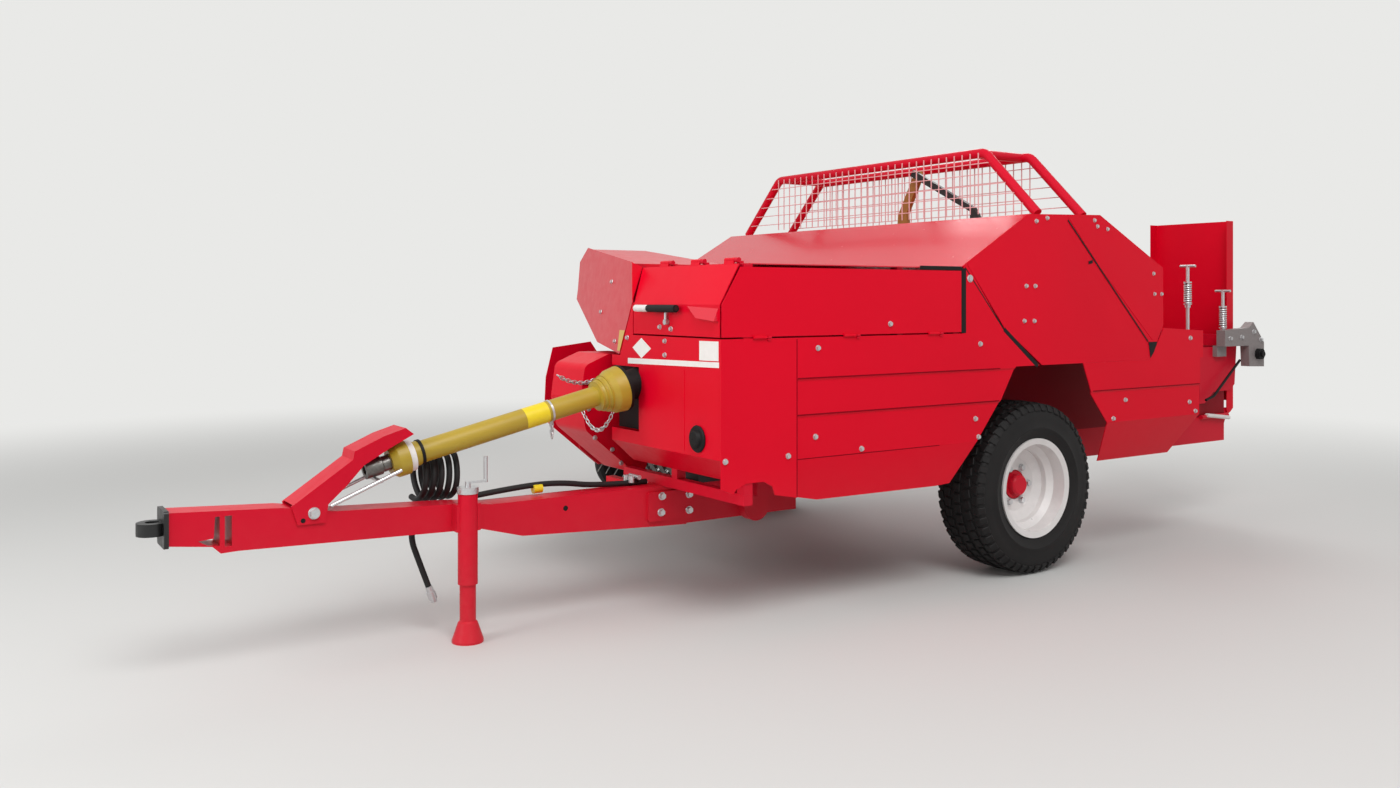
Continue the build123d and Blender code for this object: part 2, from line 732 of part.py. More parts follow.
# Guard cage over the feeder, with wire mesh on both faces
cage_front = axle_x + 4
cage_rear = axle_x - 304
cage_foot_y = body_half - 35
cage_top_y = cage_foot_y - 300
cage_top_z = 1890
cage_r = 22
cage_foot_z = roof_top_z + 9
cage_bend_r = 60
cage_bar_y = cage_top_y - 50
cage_cut_y = cage_foot_y - 10
cage_cuts = ((cage_front, roof_top_z + 4.2), (cage_rear, ridge_rear_z - 1.6))
cage_points = ((-cage_foot_y, cage_foot_z), (-cage_top_y, cage_top_z), (cage_top_y, cage_top_z),
               (cage_foot_y, cage_foot_z))
with BuildPart() as cage:
    for x in (cage_front, cage_rear):
        with BuildLine() as hoop:
            FilletPolyline(*[(x, y, z) for y, z in cage_points], radius=cage_bend_r)
        with BuildSketch(Plane(origin=hoop.line @ 0, z_dir=hoop.line % 0)):
            Circle(cage_r)
        sweep(path=hoop.line)
    for y in (-cage_bar_y, cage_bar_y):
        with BuildSketch(Plane.YZ.offset(cage_rear)):
            with Locations((y, cage_top_z)):
                Circle(cage_r)
        extrude(amount=cage_front - cage_rear)
    for x, foot_z in cage_cuts:
        with BuildSketch(Plane.XY.offset(1500)):
            with Locations((x, cage_cut_y), (x, -cage_cut_y)):
                Rectangle(120, 140)
        extrude(amount=foot_z - 1500, mode=Mode.SUBTRACT)
keep(cage, "cage_frame")

mesh_t = 4
mesh_pitch = 50
mesh_foot_z = 1606
mesh_row_z = 1640
mesh_side = int((cage_top_y - 20) / mesh_pitch)
mesh_rows = int((cage_top_z - mesh_row_z) / mesh_pitch)
with BuildPart() as mesh:
    for x in (cage_front + cage_r + seat, cage_rear - cage_r - mesh_t - seat):
        with BuildSketch(Plane.YZ.offset(x)):
            for i in range(-mesh_side, mesh_side + 1):
                with Locations((i * mesh_pitch, (mesh_foot_z + cage_top_z) / 2)):
                    Rectangle(mesh_t, cage_top_z - mesh_foot_z)
            for j in range(mesh_rows):
                with Locations((0, mesh_row_z + j * mesh_pitch)):
                    Rectangle(2 * (cage_foot_y - 60 - j * mesh_pitch), mesh_t)
        extrude(amount=mesh_t)
keep(mesh, "cage_mesh")

# Feeder drive inside the cage: lever on a bracket, and the long rod
lever_x = axle_x - 125
lever_z = 1591
with BuildPart() as lever:
    with BuildSketch(Plane.YZ.offset(lever_x)):
        with BuildLine():
            Polyline((80, lever_z), (150, lever_z), (146, 1650), (244, 1830), (238, 1862), (206, 1862),
                     (190, 1830), (88, 1650), close=True)
        make_face()
    extrude(amount=24)
keep(lever, "feeder_lever")
with BuildPart() as rod:
    with BuildSketch(Plane.YZ.offset(lever_x + 24)):
        with BuildLine():
            Polyline((196, 1838), (215, 1866), (622, 1650), (660, lever_z), (600, lever_z), (596, 1634),
                     close=True)
        make_face()
    extrude(amount=22)
keep(rod, "feeder_rod")

# Bale chamber: rectangular channel with the feed opening in its right wall
with BuildPart() as chamber:
    with BuildSketch(Plane.YZ.offset(chamber_rear)):
        with Locations((line_y, (rail_z1 + chamber_top) / 2)):
            Rectangle(2 * chamber_half, chamber_top - rail_z1)
            Rectangle(2 * (chamber_half - chamber_wall), chamber_top - rail_z1 - 2 * chamber_wall,
                      mode=Mode.SUBTRACT)
    extrude(amount=chamber_front - chamber_rear)
    with BuildSketch(Plane.XZ.offset(-(chamber_y0 + 3 * chamber_wall))):
        with Locations(((feed_front + feed_rear) / 2, (feed_z0 + feed_z1) / 2)):
            Rectangle(feed_front - feed_rear, feed_z1 - feed_z0)
    extrude(amount=6 * chamber_wall, mode=Mode.SUBTRACT)
keep(chamber, "bale_chamber")
plunger_half = chamber_half - plunger_gap
plunger = bar(axle_x + 420, axle_x + 780, line_y - plunger_half, line_y + plunger_half,
              rail_z1 + chamber_wall, chamber_top - 15)
keep(plunger, "plunger")

# Chute: folded up behind the chamber, hinged at its lower edge
chute_x = axle_x - 2050
chute_z0 = 640
chute_top = 1652
chute_flange = 62
chute_pin_x = axle_x - 2006
chute_pin_z = 590
chute_pin_r = 8
with BuildPart() as chute:
    with BuildSketch(Plane.XY.offset(chute_z0)):
        with Locations((chute_x + chute_flange / 2, line_y)):
            Rectangle(chute_flange, 2 * chamber_half)
        with Locations((chute_x + chute_flange / 2 + sheet, line_y)):
            Rectangle(chute_flange, 2 * (chamber_half - sheet), mode=Mode.SUBTRACT)
    extrude(amount=chute_top - chute_z0)
    for y in (chamber_y1, chamber_y0 + sheet):
        with BuildSketch(Plane.XZ.offset(-y)):
            with BuildLine():
                Polyline((chute_x, chute_z0), (chute_x + chute_flange, chute_z0),
                         (chute_pin_x + 18, chute_pin_z), (chute_pin_x + 13, chute_pin_z - 13),
                         (chute_pin_x, chute_pin_z - 18), (chute_pin_x - 18, chute_pin_z - 10),
                         (chute_x, chute_pin_z + 10), close=True)
            make_face()
            with Locations((chute_pin_x, chute_pin_z)):
                Circle(chute_pin_r + fit, mode=Mode.SUBTRACT)
        extrude(amount=sheet)
keep(chute, "bale_chute")

# Lugs under the chamber's rear edge and the chute's hinge pins
with BuildPart() as chute_lugs:
    for y in (chamber_y1 - sheet - gap, chamber_y0 + sheet + gap + 10):
        with BuildSketch(Plane.XZ.offset(-y)):
            with BuildLine():
                Polyline((chamber_rear - seat, chamber_wall + rail_z1 + 34),
                         (chamber_rear - seat, rail_z0 + 60), (chute_pin_x, chute_pin_z - 14),
                         (chute_pin_x - 12, chute_pin_z - 4), (chute_pin_x - 8, chute_pin_z + 13),
                         close=True)
            make_face()
        extrude(amount=10)
    for y in (chamber_y1, chamber_y0 + sheet + gap + 2):
        with BuildSketch(Plane.XZ.offset(-y)):
            with Locations((chute_pin_x, chute_pin_z)):
                Circle(chute_pin_r)
        extrude(amount=sheet + gap + 2)

# Bale tension: screws with springs on both sides of the chamber's rear half
with BuildPart() as tension_frames:
    for x in (axle_x - 1600, axle_x - 1930):
        with BuildSketch(Plane.XY.offset(chamber_top)):
            with Locations((x, line_y)):
                Rectangle(60, 2 * chamber_half + 68)
        extrude(amount=60)
keep(tension_frames, "tension_frames")
with BuildPart() as tension_screws:
    for x, top in ((axle_x - 1600, 1397), (axle_x - 1930, 1264)):
        for y in (chamber_y1 + 12, chamber_y0 - 12):
            for radius, z0, z1 in ((8, chamber_top + 60, top), (22, top - 208, top - 98)):
                with BuildSketch(Plane.XY.offset(z0)):
                    with Locations((x, y)):
                        Circle(radius)
                extrude(amount=z1 - z0)
            with BuildSketch(Plane.XZ.offset(-(y + 45))):
                with Locations((x, top - 6)):
                    Circle(7)
            extrude(amount=90)
keep(tension_screws, "tension_screws")

# Twine arm housing and its rod beside the chamber's left rear corner
with BuildPart() as rear_housing:
    with BuildSketch(Plane.XZ.offset(-(chamber_y1 + 86))):
        with BuildLine():
            Polyline(*rel([(-1830, 953), (-1830, 1040), (-2060, 1052), (-2108, 1084), (-2215, 969),
                           (-2215, 832), (-2068, 837), (-2060, 953)]), close=True)
        make_face()
    extrude(amount=50)
    with BuildSketch(Plane.XZ.offset(-(chamber_y1 + 36))):
        with Locations((axle_x - 1880, 925)):
            Rectangle(90, 60)
    extrude(amount=26)
keep(rear_housing, "rear_housing")
with BuildPart() as rear_plate:
    with BuildSketch(Plane.XZ.offset(-(chamber_y1 + 10))):
        with BuildLine():
            Polyline(*rel([(-1711, 948), (-2067, 948), (-2048, 736), (-2009, 702), (-1844, 700), (-1760, 640),
                           (-1711, 640)]), close=True)
        make_face()
    extrude(amount=10)
    with BuildSketch(Plane.YZ.offset(axle_x - 1972)):
        with Locations((chamber_y1 + 12, 566)):
            Circle(12)
    extrude(amount=250)
keep(rear_plate, "rear_plate")

# Feed table on the right, with its folded side wall and the ledge over the wheel
table_front = axle_x + 720
table_rear = axle_x - 350
wall_y = 158 - wheel_y
wide_y = 45 - body_half
step_x = axle_x + 400
with BuildPart() as table:
    with BuildSketch(Plane.XY.offset(rail_z1)):
        with BuildLine():
            Polyline((table_front, chamber_y0 - seat), (table_front, wide_y), (step_x, wide_y),
                     (step_x, wall_y), (table_rear, wall_y), (table_rear, chamber_y0 - seat), close=True)
        make_face()
    extrude(amount=sheet)
with BuildPart() as feed_walls:
    with BuildSketch(Plane.XY.offset(rail_z1 + sheet)):
        with BuildLine():
            Polyline((table_front, wide_y + sheet), (table_front, wide_y), (step_x, wide_y),
                     (step_x, wall_y), (table_rear, wall_y), (table_rear, chamber_y0 - seat),
                     (table_rear + sheet, chamber_y0 - seat), (table_rear + sheet, wall_y + sheet),
                     (step_x + sheet, wall_y + sheet), (step_x + sheet, wide_y + sheet), close=True)
        make_face()
    extrude(amount=plate_z - rail_z1 - sheet)
    with BuildSketch(Plane.XY.offset(plate_z - sheet)):
        with Locations(((step_x + table_rear) / 2, (wall_y - inner_y) / 2)):
            Rectangle(step_x - table_rear, inner_y + wall_y)
    extrude(amount=sheet)
with table:
    add(feed_walls.part)
keep(table, "feed_table")
table_rail = bar(table_rear, axle_x + 640, -560, -500, rail_z0, rail_z1 - 60)
with BuildPart() as table_crosses:
    for x0, x1, y0 in ((axle_x + 640, axle_x + 690, wide_y), (table_rear, table_rear + 50, wall_y)):
        with BuildSketch(Plane.XY.offset(rail_z1 - 60)):
            with Locations(((x0 + x1) / 2, (y0 + chamber_y0) / 2)):
                Rectangle(x1 - x0, chamber_y0 - y0 - 2 * seat)
        extrude(amount=60)
with chamber_rails:
    add(saddles.part)
    add(table_rail.part)
    add(table_crosses.part)
keep(chamber_rails, "lower_frame")
with BuildPart() as fork_beam:
    with BuildSketch(Plane.XZ.offset(-(chamber_y0 - 10))):
        with Locations((axle_x, 880)):
            Rectangle(50, 50)
    extrude(amount=chamber_y0 - 10 - wall_y - sheet - seat)
    for y in (150, -150, -450, -720):
        with BuildSketch(Plane.XY.offset(620)):
            with Locations((axle_x - 60, y), (axle_x, y), (axle_x + 60, y)):
                Circle(9)
        extrude(amount=236)
        with BuildSketch(Plane.XY.offset(840)):
            with Locations((axle_x, y)):
                Rectangle(150, 30)
        extrude(amount=20)
keep(fork_beam, "feeder_forks")

# Drive guard: rounded housing on the front, right of the shaft opening
with BuildPart() as drive_guard:
    with BuildSketch(Plane.XZ.offset(-guard_y1)):
        with BuildLine():
            FilletPolyline(*rel([(1514, 430), (1514, 985), (1700, 985), (1812, 940), (1832, 800),
                                 (1807, 671)]), radius=40, close=True)
        make_face()
    extrude(amount=guard_y1 - guard_y0)
guard_arm_y1 = line_y - beam_w / 2 - joint_plate_t - seat
with BuildPart() as guard_arm:
    with BuildSketch(Plane.XY.offset(390)):
        with Locations((axle_x + 1540, (guard_y0 + guard_arm_y1) / 2)):
            Rectangle(40, guard_arm_y1 - guard_y0)
    extrude(amount=40)
with drive_guard:
    add(guard_arm.part)
keep(drive_guard, "drive_guard")

# Pickup: side plates on lift pins, stripper bands, tined reel, and a gauge wheel
reel_x = axle_x + 1000
reel_z = 520
tine_r = 256
band_r = 190
band_t = 3
band_w = 46
band_pitch = 84
reel_y1 = chamber_y0 - 32
reel_y0 = 140 - body_half
band_count = int((reel_y1 - reel_y0 - band_w) / band_pitch) + 1
cover_y = body_half + 5
lift_x = axle_x + 712
lift_z = 480
lift_pin_r = 12
shaft_pin_r = 18
plate_t = 8
plate_left = reel_y1 + plate_t
plate_right = reel_y0
pickup_outline = rel([(690, 455), (690, 505), (735, 520), (800, 640), (900, 725), (1040, 730), (1160, 660),
                      (1210, 540), (1190, 420), (1080, 330), (960, 330), (860, 400), (740, 452)])
with BuildPart() as pickup_frame:
    for y in (plate_left, plate_right):
        with BuildSketch(Plane.XZ.offset(-y)):
            with BuildLine():
                Polyline(*pickup_outline, close=True)
            make_face()
            with Locations((reel_x, reel_z)):
                Circle(shaft_pin_r + fit, mode=Mode.SUBTRACT)
            with Locations((lift_x, lift_z)):
                Circle(lift_pin_r + fit, mode=Mode.SUBTRACT)
        extrude(amount=plate_t)
    with BuildSketch(Plane.XZ.offset(-reel_y1)):
        with Locations((reel_x - 236, reel_z - 50)):
            Rectangle(24, 40)
    extrude(amount=reel_y1 - reel_y0)
    with BuildSketch(Plane.XZ.offset(-(reel_y0 - plate_t))):
        with Locations((reel_x - 100, reel_z + 150)):
            Circle(16)
    extrude(amount=cover_y + reel_y0 - plate_t)
    with BuildSketch(Plane.XZ.offset(cover_y)):
        with BuildLine():
            Polyline(*rel([(1048, 981), (1277, 954), (1318, 797), (1324, 681), (1301, 548), (942, 253),
                           (800, 400), (800, 640)]), close=True)
        make_face()
    extrude(amount=sheet)

with BuildPart() as bands:
    with BuildSketch(Plane.XZ.offset(-(reel_y1 - seat))):
        with BuildLine():
            Line((reel_x - 236 + 12, 560), (reel_x - 60, reel_z + band_r))
            ThreePointArc((reel_x - 60, reel_z + band_r), (reel_x + band_r, reel_z),
                          (reel_x - 60, reel_z - band_r))
            Line((reel_x - 60, reel_z - band_r), (reel_x - 236 + 12, 470))
            Line((reel_x - 236 + 12, 470), (reel_x - 236 + 12 + band_t, 472))
            Line((reel_x - 236 + 12 + band_t, 472), (reel_x - 60, reel_z - band_r + band_t + 1))
            ThreePointArc((reel_x - 60, reel_z - band_r + band_t + 1), (reel_x + band_r - band_t, reel_z),
                          (reel_x - 60, reel_z + band_r - band_t - 1))
            Line((reel_x - 60, reel_z + band_r - band_t - 1), (reel_x - 236 + 12 + band_t, 558))
            Line((reel_x - 236 + 12 + band_t, 558), (reel_x - 236 + 12, 560))
        make_face()
    extrude(amount=band_w)
one_band = bands.part
band_set = [Pos(0, -i * band_pitch, 0) * one_band for i in range(band_count)]
with BuildPart() as pickup_bands:
    for piece in band_set:
        add(piece)
keep(pickup_bands, "pickup_bands")

tine_wire = 3
tine_bar_r = 11
tine_bar_orbit = 120
tine_bars = 4
with BuildPart() as reel:
    with BuildSketch(Plane.XZ.offset(-(plate_left - 1))):
        with Locations((reel_x, reel_z)):
            Circle(shaft_pin_r)
    extrude(amount=plate_left - plate_right + plate_t - 2)
    for y in (reel_y1 - 2, reel_y0 + 8):
        with BuildSketch(Plane.XZ.offset(-y)):
            with Locations((reel_x, reel_z)):
                Circle(tine_bar_orbit + 20)
        extrude(amount=6)
    for k in range(tine_bars):
        angle = 35 + 360 * k / tine_bars
        bar_at = (reel_x + tine_bar_orbit * cos(radians(angle)),
                  reel_z + tine_bar_orbit * sin(radians(angle)))
        with BuildSketch(Plane.XZ.offset(-(reel_y1 - 2))):
            with Locations(bar_at):
                Circle(tine_bar_r)
        extrude(amount=reel_y1 - reel_y0 - 4)
        for i in range(band_count - 1):
            y = reel_y1 - seat - (i + 1) * band_pitch + (band_pitch - band_w) / 2
            with BuildSketch(Plane(origin=(bar_at[0], y, bar_at[1]),
                                   z_dir=(cos(radians(angle)), 0, sin(radians(angle))))):
                Circle(tine_wire)
            extrude(amount=tine_r - tine_bar_orbit)
keep(reel, "pickup_reel")

gauge_x = axle_x + 880
gauge_y = 65 - body_half
gauge_spindle = 39.3
gauge_z = 330
gauge_r = 170
gauge_pin_r = 10
with BuildPart() as gauge_wheel:
    with BuildSketch(Plane(origin=(gauge_x, gauge_y, gauge_z), x_dir=(0, -1, 0), z_dir=(1, 0, 0))):
        with BuildLine():
            Polyline((-36, gauge_pin_r + fit), (-36, 26), (-12, 26), (-12, 110), (-38, 112), (-38, 150),
                     (-26, gauge_r - 4), (0, gauge_r), (26, gauge_r - 4), (38, 150), (38, 112), (12, 110),
                     (12, 26), (36, 26), (36, gauge_pin_r + fit), close=True)
        make_face()
    revolve(axis=Axis((gauge_x, gauge_y, gauge_z), (0, 1, 0)))
keep(gauge_wheel, "gauge_wheel")
with BuildPart() as gauge_arm:
    with BuildSketch(Plane.XZ.offset(-(reel_y0 - plate_t - seat))):
        with BuildLine():
            Polyline(*rel([(862, 316), (898, 316), (930, 430), (930, 500), (880, 500), (862, 420)]),
                     close=True)
        make_face()
    extrude(amount=8)
    with BuildSketch(Plane.XZ.offset(-(reel_y0 - plate_t - seat))):
        with Locations((gauge_x, gauge_z)):
            Circle(gauge_pin_r)
    extrude(amount=reel_y0 - plate_t - seat - gauge_y + gauge_spindle)
with pickup_frame:
    add(gauge_arm.part)
keep(pickup_frame, "pickup_frame")

# Lugs and pins that carry the pickup, on the front cross of the feed table
with BuildPart() as lift_lugs:
    for y in (plate_left - plate_t - gap, plate_right - plate_t - gap):
        with BuildSketch(Plane.XZ.offset(-y)):
            with BuildLine():
                Polyline(*rel([(640, 505), (640, 440), (700, 460), (730, 470), (730, 490), (720, 505)]),
                         close=True)
            make_face()
        extrude(amount=10)
        with BuildSketch(Plane.XZ.offset(-(y + gap + plate_t))):
            with Locations((lift_x, lift_z)):
                Circle(lift_pin_r)
        extrude(amount=gap + plate_t + 10)
with lift_lugs:
    add(flap_pins.part)
    add(hood_hinges.part)
    add(chute_lugs.part)
keep(lift_lugs, "hinge_pins")

# Hoses: one length over the drawbar, a coil beside it, and two tails below
hose_r = 11


def hose(points, radii, r, name):
    """A plain tube along straight runs joined by arcs."""
    with BuildPart() as piece:
        with BuildLine() as route:
            FilletPolyline(*points, radius=radii)
        with BuildSketch(Plane(origin=route.line @ 0, z_dir=route.line % 0)):
            Circle(r)
        sweep(path=route.line)
    keep(piece, name)


hose([(axle_x + 2420, 470, 489), (axle_x + 2230, 470, 508), (axle_x + 2050, 474, 512),
      (axle_x + 1880, 478, 482), (axle_x + 1660, 480, 481.4)], [110, 110, 110], hose_r, "hose_run")
tail_end = (axle_x + 2550, 421.6, 172)
hose([(axle_x + 2600, 433.6, 460), (axle_x + 2630, 433.6, 380), (axle_x + 2580, 424, 250),
      tail_end], [60, 60], hose_r, "hose_tail")
tail_way = Vector(-50, -4, -130).normalized()
with BuildPart() as coupler:
    for start, radius, length in ((0, 13, 22), (22, 16, 30), (52, 11, 12)):
        with BuildSketch(Plane(origin=Vector(*tail_end) + tail_way * start, z_dir=tail_way)):
            Circle(radius)
        extrude(amount=length)
keep(coupler, "hose_coupler")
coil_y = 386
coil_z = 570.4
with BuildPart() as hose_coil:
    with BuildSketch(Plane.YZ.offset(axle_x + 2440)):
        with Locations((coil_y, coil_z)):
            Circle(100)
            Circle(76, mode=Mode.SUBTRACT)
    extrude(amount=160)
keep(hose_coil, "hose_coil")
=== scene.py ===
from math import cos, pi, radians, sin

import bmesh
import bpy
from mathutils import Matrix, Vector


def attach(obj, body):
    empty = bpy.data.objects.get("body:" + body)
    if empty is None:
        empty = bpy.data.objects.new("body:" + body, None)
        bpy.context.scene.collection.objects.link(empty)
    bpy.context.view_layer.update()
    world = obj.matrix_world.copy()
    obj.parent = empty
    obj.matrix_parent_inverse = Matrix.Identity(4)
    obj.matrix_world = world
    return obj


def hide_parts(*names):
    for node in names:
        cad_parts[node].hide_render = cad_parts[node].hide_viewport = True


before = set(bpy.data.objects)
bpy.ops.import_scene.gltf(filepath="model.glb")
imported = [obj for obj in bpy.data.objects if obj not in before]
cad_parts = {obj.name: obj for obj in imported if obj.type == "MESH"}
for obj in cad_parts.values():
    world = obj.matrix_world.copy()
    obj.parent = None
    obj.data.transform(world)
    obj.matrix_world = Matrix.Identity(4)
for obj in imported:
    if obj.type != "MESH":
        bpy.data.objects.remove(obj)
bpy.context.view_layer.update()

# Camera: level, 1.2 m up, in front of the machine's left corner. Three soft square lamps
# stand round the machine, the brightest over its left side.
camera_spot = (3.413, 4.439, 1.219)
view_way = Vector((-0.559, -0.829, 0))
camera_data = bpy.data.cameras.new("camera")
camera_data.lens = 29.57
camera_data.sensor_width = 36
camera_data.shift_y = -0.0686
camera_data.clip_end = 200
camera = bpy.data.objects.new("camera", camera_data)
camera.location = camera_spot
camera.rotation_euler = view_way.to_track_quat("-Z", "Y").to_euler()
bpy.context.scene.collection.objects.link(camera)
bpy.context.scene.camera = camera
bpy.context.scene.view_settings.view_transform = "Standard"


def hex_colour(text):
    """Turns an sRGB hex value to the linear colour that a shader reads."""
    channels = [int(text[i:i + 2], 16) / 255 for i in (1, 3, 5)]
    linear = [c / 12.92 if c <= 0.04045 else ((c + 0.055) / 1.055) ** 2.4 for c in channels]
    return (*linear, 1.0)


def place(tree, kind, links=None, values=None, **settings):
    """Adds one node with its settings, socket values and incoming links."""
    node = tree.nodes.new(kind)
    for name, setting in settings.items():
        setattr(node, name, setting)
    for name, value in (values or {}).items():
        node.inputs[name].default_value = value
    for name, source in (links or {}).items():
        tree.links.new(source, node.inputs[name])
    return node


def lamp(name, spot, size, power, aim=(0, 0, 0.8)):
    """A soft square lamp that faces the machine."""
    data = bpy.data.lights.new(name, "AREA")
    data.shape = "SQUARE"
    data.size = size
    data.energy = power
    light = bpy.data.objects.new(name, data)
    light.location = spot
    light.rotation_euler = (Vector(aim) - Vector(spot)).to_track_quat("-Z", "Y").to_euler()
    bpy.context.scene.collection.objects.link(light)


lamp("key_lamp", (2.5, 5.5, 6.5), 4.0, 385)
lamp("front_lamp", (7.0, 0.5, 3.5), 3.5, 190)
lamp("back_lamp", (-6.0, -4.0, 5.0), 4.0, 200)

# Room: a pale wall of light all round, which dims to a softer sky for the light that it
# sheds, and a wide vinyl floor that fades into the wall far from the machine.
wall_colour = hex_colour("#e9e9e7")
fade_start = 4.0
fade_end = 9.0
floor_reach = 40
world = bpy.data.worlds.new("pale_room")
world.use_nodes = True
bpy.context.scene.world = world
sky = world.node_tree.nodes["Background"]
sky.inputs["Color"].default_value = hex_colour("#f2f2f2")
sky.inputs["Strength"].default_value = 0.55
ray = place(world.node_tree, "ShaderNodeLightPath")
backdrop = place(world.node_tree, "ShaderNodeBackground",
                 values={"Color": wall_colour, "Strength": 1.0})
seen = place(world.node_tree, "ShaderNodeMath",
             {0: ray.outputs["Is Camera Ray"], 1: ray.outputs["Is Glossy Ray"]}, operation="MAXIMUM")
choose = place(world.node_tree, "ShaderNodeMixShader",
               links={0: seen.outputs["Value"], 1: sky.outputs[0], 2: backdrop.outputs[0]})
world.node_tree.links.new(choose.outputs[0], world.node_tree.nodes["World Output"].inputs["Surface"])

bm = bmesh.new()
bmesh.ops.create_grid(bm, x_segments=1, y_segments=1, size=floor_reach)
floor_mesh = bpy.data.meshes.new("floor")
bm.to_mesh(floor_mesh)
bm.free()
floor = bpy.data.objects.new("floor", floor_mesh)
bpy.context.scene.collection.objects.link(floor)
floor_paint = bpy.data.materials.new("studio_floor_vinyl")
floor_paint.use_nodes = True
floor_shader = floor_paint.node_tree.nodes["Principled BSDF"]
floor_shader.inputs["Base Color"].default_value = hex_colour("#cbcbc9")
floor_shader.inputs["Roughness"].default_value = 0.8
floor_tree = floor_paint.node_tree
floor_spot = place(floor_tree, "ShaderNodeTexCoord")
reach = place(floor_tree, "ShaderNodeVectorMath", {0: floor_spot.outputs["Object"]}, operation="LENGTH")
fade = place(floor_tree, "ShaderNodeMapRange", {"Value": reach.outputs["Value"]},
             {"From Min": fade_start, "From Max": fade_end, "To Min": 0.0, "To Max": 1.0},
             interpolation_type="SMOOTHSTEP")
far_floor = place(floor_tree, "ShaderNodeEmission", values={"Color": wall_colour, "Strength": 1.0})
floor_ray = place(floor_tree, "ShaderNodeLightPath")
faded = place(floor_tree, "ShaderNodeMath",
              {0: fade.outputs["Result"], 1: floor_ray.outputs["Is Camera Ray"]}, operation="MULTIPLY")
blend = place(floor_tree, "ShaderNodeMixShader",
              {0: faded.outputs["Value"], 1: floor_shader.outputs[0], 2: far_floor.outputs[0]})
floor_tree.links.new(blend.outputs[0], floor_tree.nodes["Material Output"].inputs["Surface"])
floor_mesh.materials.append(floor_paint)


# Hydraulic hoses: rubber-covered braided hose, one length strapped along the top of the
# drawbar, one wound in a standing coil beside it, and one that hangs down with its coupler.
bloom_scale = 9.0  # paler bloom in patches about 110 mm wide


def finish_name(name):
    """A new material, and the shader in it."""
    made = bpy.data.materials.new(name)
    made.use_nodes = True
    return made, made.node_tree, made.node_tree.nodes["Principled BSDF"]


def rubber(name, colour, dust, grain):
    """Vulcanised rubber: dark and dull, with a paler bloom in patches and a fine grain."""
    made, tree, shader = finish_name(name)
    spot = place(tree, "ShaderNodeTexCoord")
    patches = place(tree, "ShaderNodeTexNoise", {"Vector": spot.outputs["Object"]},
                    {"Scale": bloom_scale, "Detail": 5.0, "Roughness": 0.6})
    tint = place(tree, "ShaderNodeMix", {"Factor": patches.outputs["Fac"]}, data_type="RGBA")
    tint.inputs["A"].default_value = hex_colour(colour)
    tint.inputs["B"].default_value = hex_colour(dust)
    skin = place(tree, "ShaderNodeTexNoise", {"Vector": spot.outputs["Object"]},
                 {"Scale": 1 / grain, "Detail": 3.0})
    relief = place(tree, "ShaderNodeBump", {"Height": skin.outputs["Fac"]},
                   {"Strength": 0.25, "Distance": 0.0006})
    tree.links.new(tint.outputs["Result"], shader.inputs["Base Color"])
    tree.links.new(relief.outputs["Normal"], shader.inputs["Normal"])
    shader.inputs["Roughness"].default_value = 0.6
    shader.inputs["Specular IOR Level"].default_value = 0.25
    return made


hose_rubber = rubber("braided_hose_rubber", "#151516", "#2b2a2a", 0.003)
hose_radius = 0.011
axle_x = -0.655


def hose(name, points, node):
    """One hose along a smooth line through its control points, in metres."""
    curve = bpy.data.curves.new(name, "CURVE")
    curve.dimensions = "3D"
    line = curve.splines.new("NURBS")
    line.points.add(len(points) - 1)
    for knot, (x, y, z) in zip(line.points, points):
        knot.co = (x, y, z, 1)
    line.order_u = 3
    line.use_endpoint_u = True
    line.resolution_u = 8
    curve.bevel_depth = hose_radius
    curve.bevel_resolution = 4
    curve.use_fill_caps = True
    curve.materials.append(hose_rubber)
    piece = bpy.data.objects.new(name, curve)
    bpy.context.scene.collection.objects.link(piece)
    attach(piece, "chassis")
    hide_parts(node)


run_points = [(axle_x + 2.420, 0.470, 0.489), (axle_x + 2.230, 0.470, 0.508),
              (axle_x + 2.050, 0.474, 0.512), (axle_x + 1.880, 0.478, 0.482),
              (axle_x + 1.660, 0.480, 0.4814)]
hose("hose_along_drawbar", run_points, "hose_run")
tail_points = [(axle_x + 2.600, 0.4336, 0.460), (axle_x + 2.630, 0.4336, 0.380),
               (axle_x + 2.580, 0.424, 0.250), (axle_x + 2.550, 0.4216, 0.172)]
hose("hose_tail_hanging", tail_points, "hose_tail")
coil_turns = 4.6
turn_steps = 14
coil_radius = 0.087
coil_x = axle_x + 2.452
coil_y = 0.386
coil_z = 0.5704
coil_span = 0.136
coil_wobble = 0.002
wobble_step = 1.7
coil_points = []
for i in range(int(coil_turns * turn_steps) + 1):
    angle = 2 * pi * i / turn_steps
    swell = coil_wobble * sin(i * wobble_step)
    coil_points.append((coil_x + coil_span * i / (coil_turns * turn_steps),
                        coil_y + (coil_radius + swell) * sin(angle),
                        coil_z + (coil_radius + swell) * cos(angle)))
hose("hose_coil_turns", coil_points,
     "hose_coil")


# Body sheets: pressed steel, powder coated in a glossy signal red. The eye sees a deep
# even colour, a faint orange peel in the reflections and a little dust low down.
tone_scale = 1.6  # a soft change of tone over about 600 mm
speck_scale = 22.0  # dust specks that gather in spots about 45 mm wide
peel_scale = 260.0  # orange peel in waves about 4 mm long
dust_colour = hex_colour("#a89a8a")
dust_top = 0.6
dust_share = 0.12


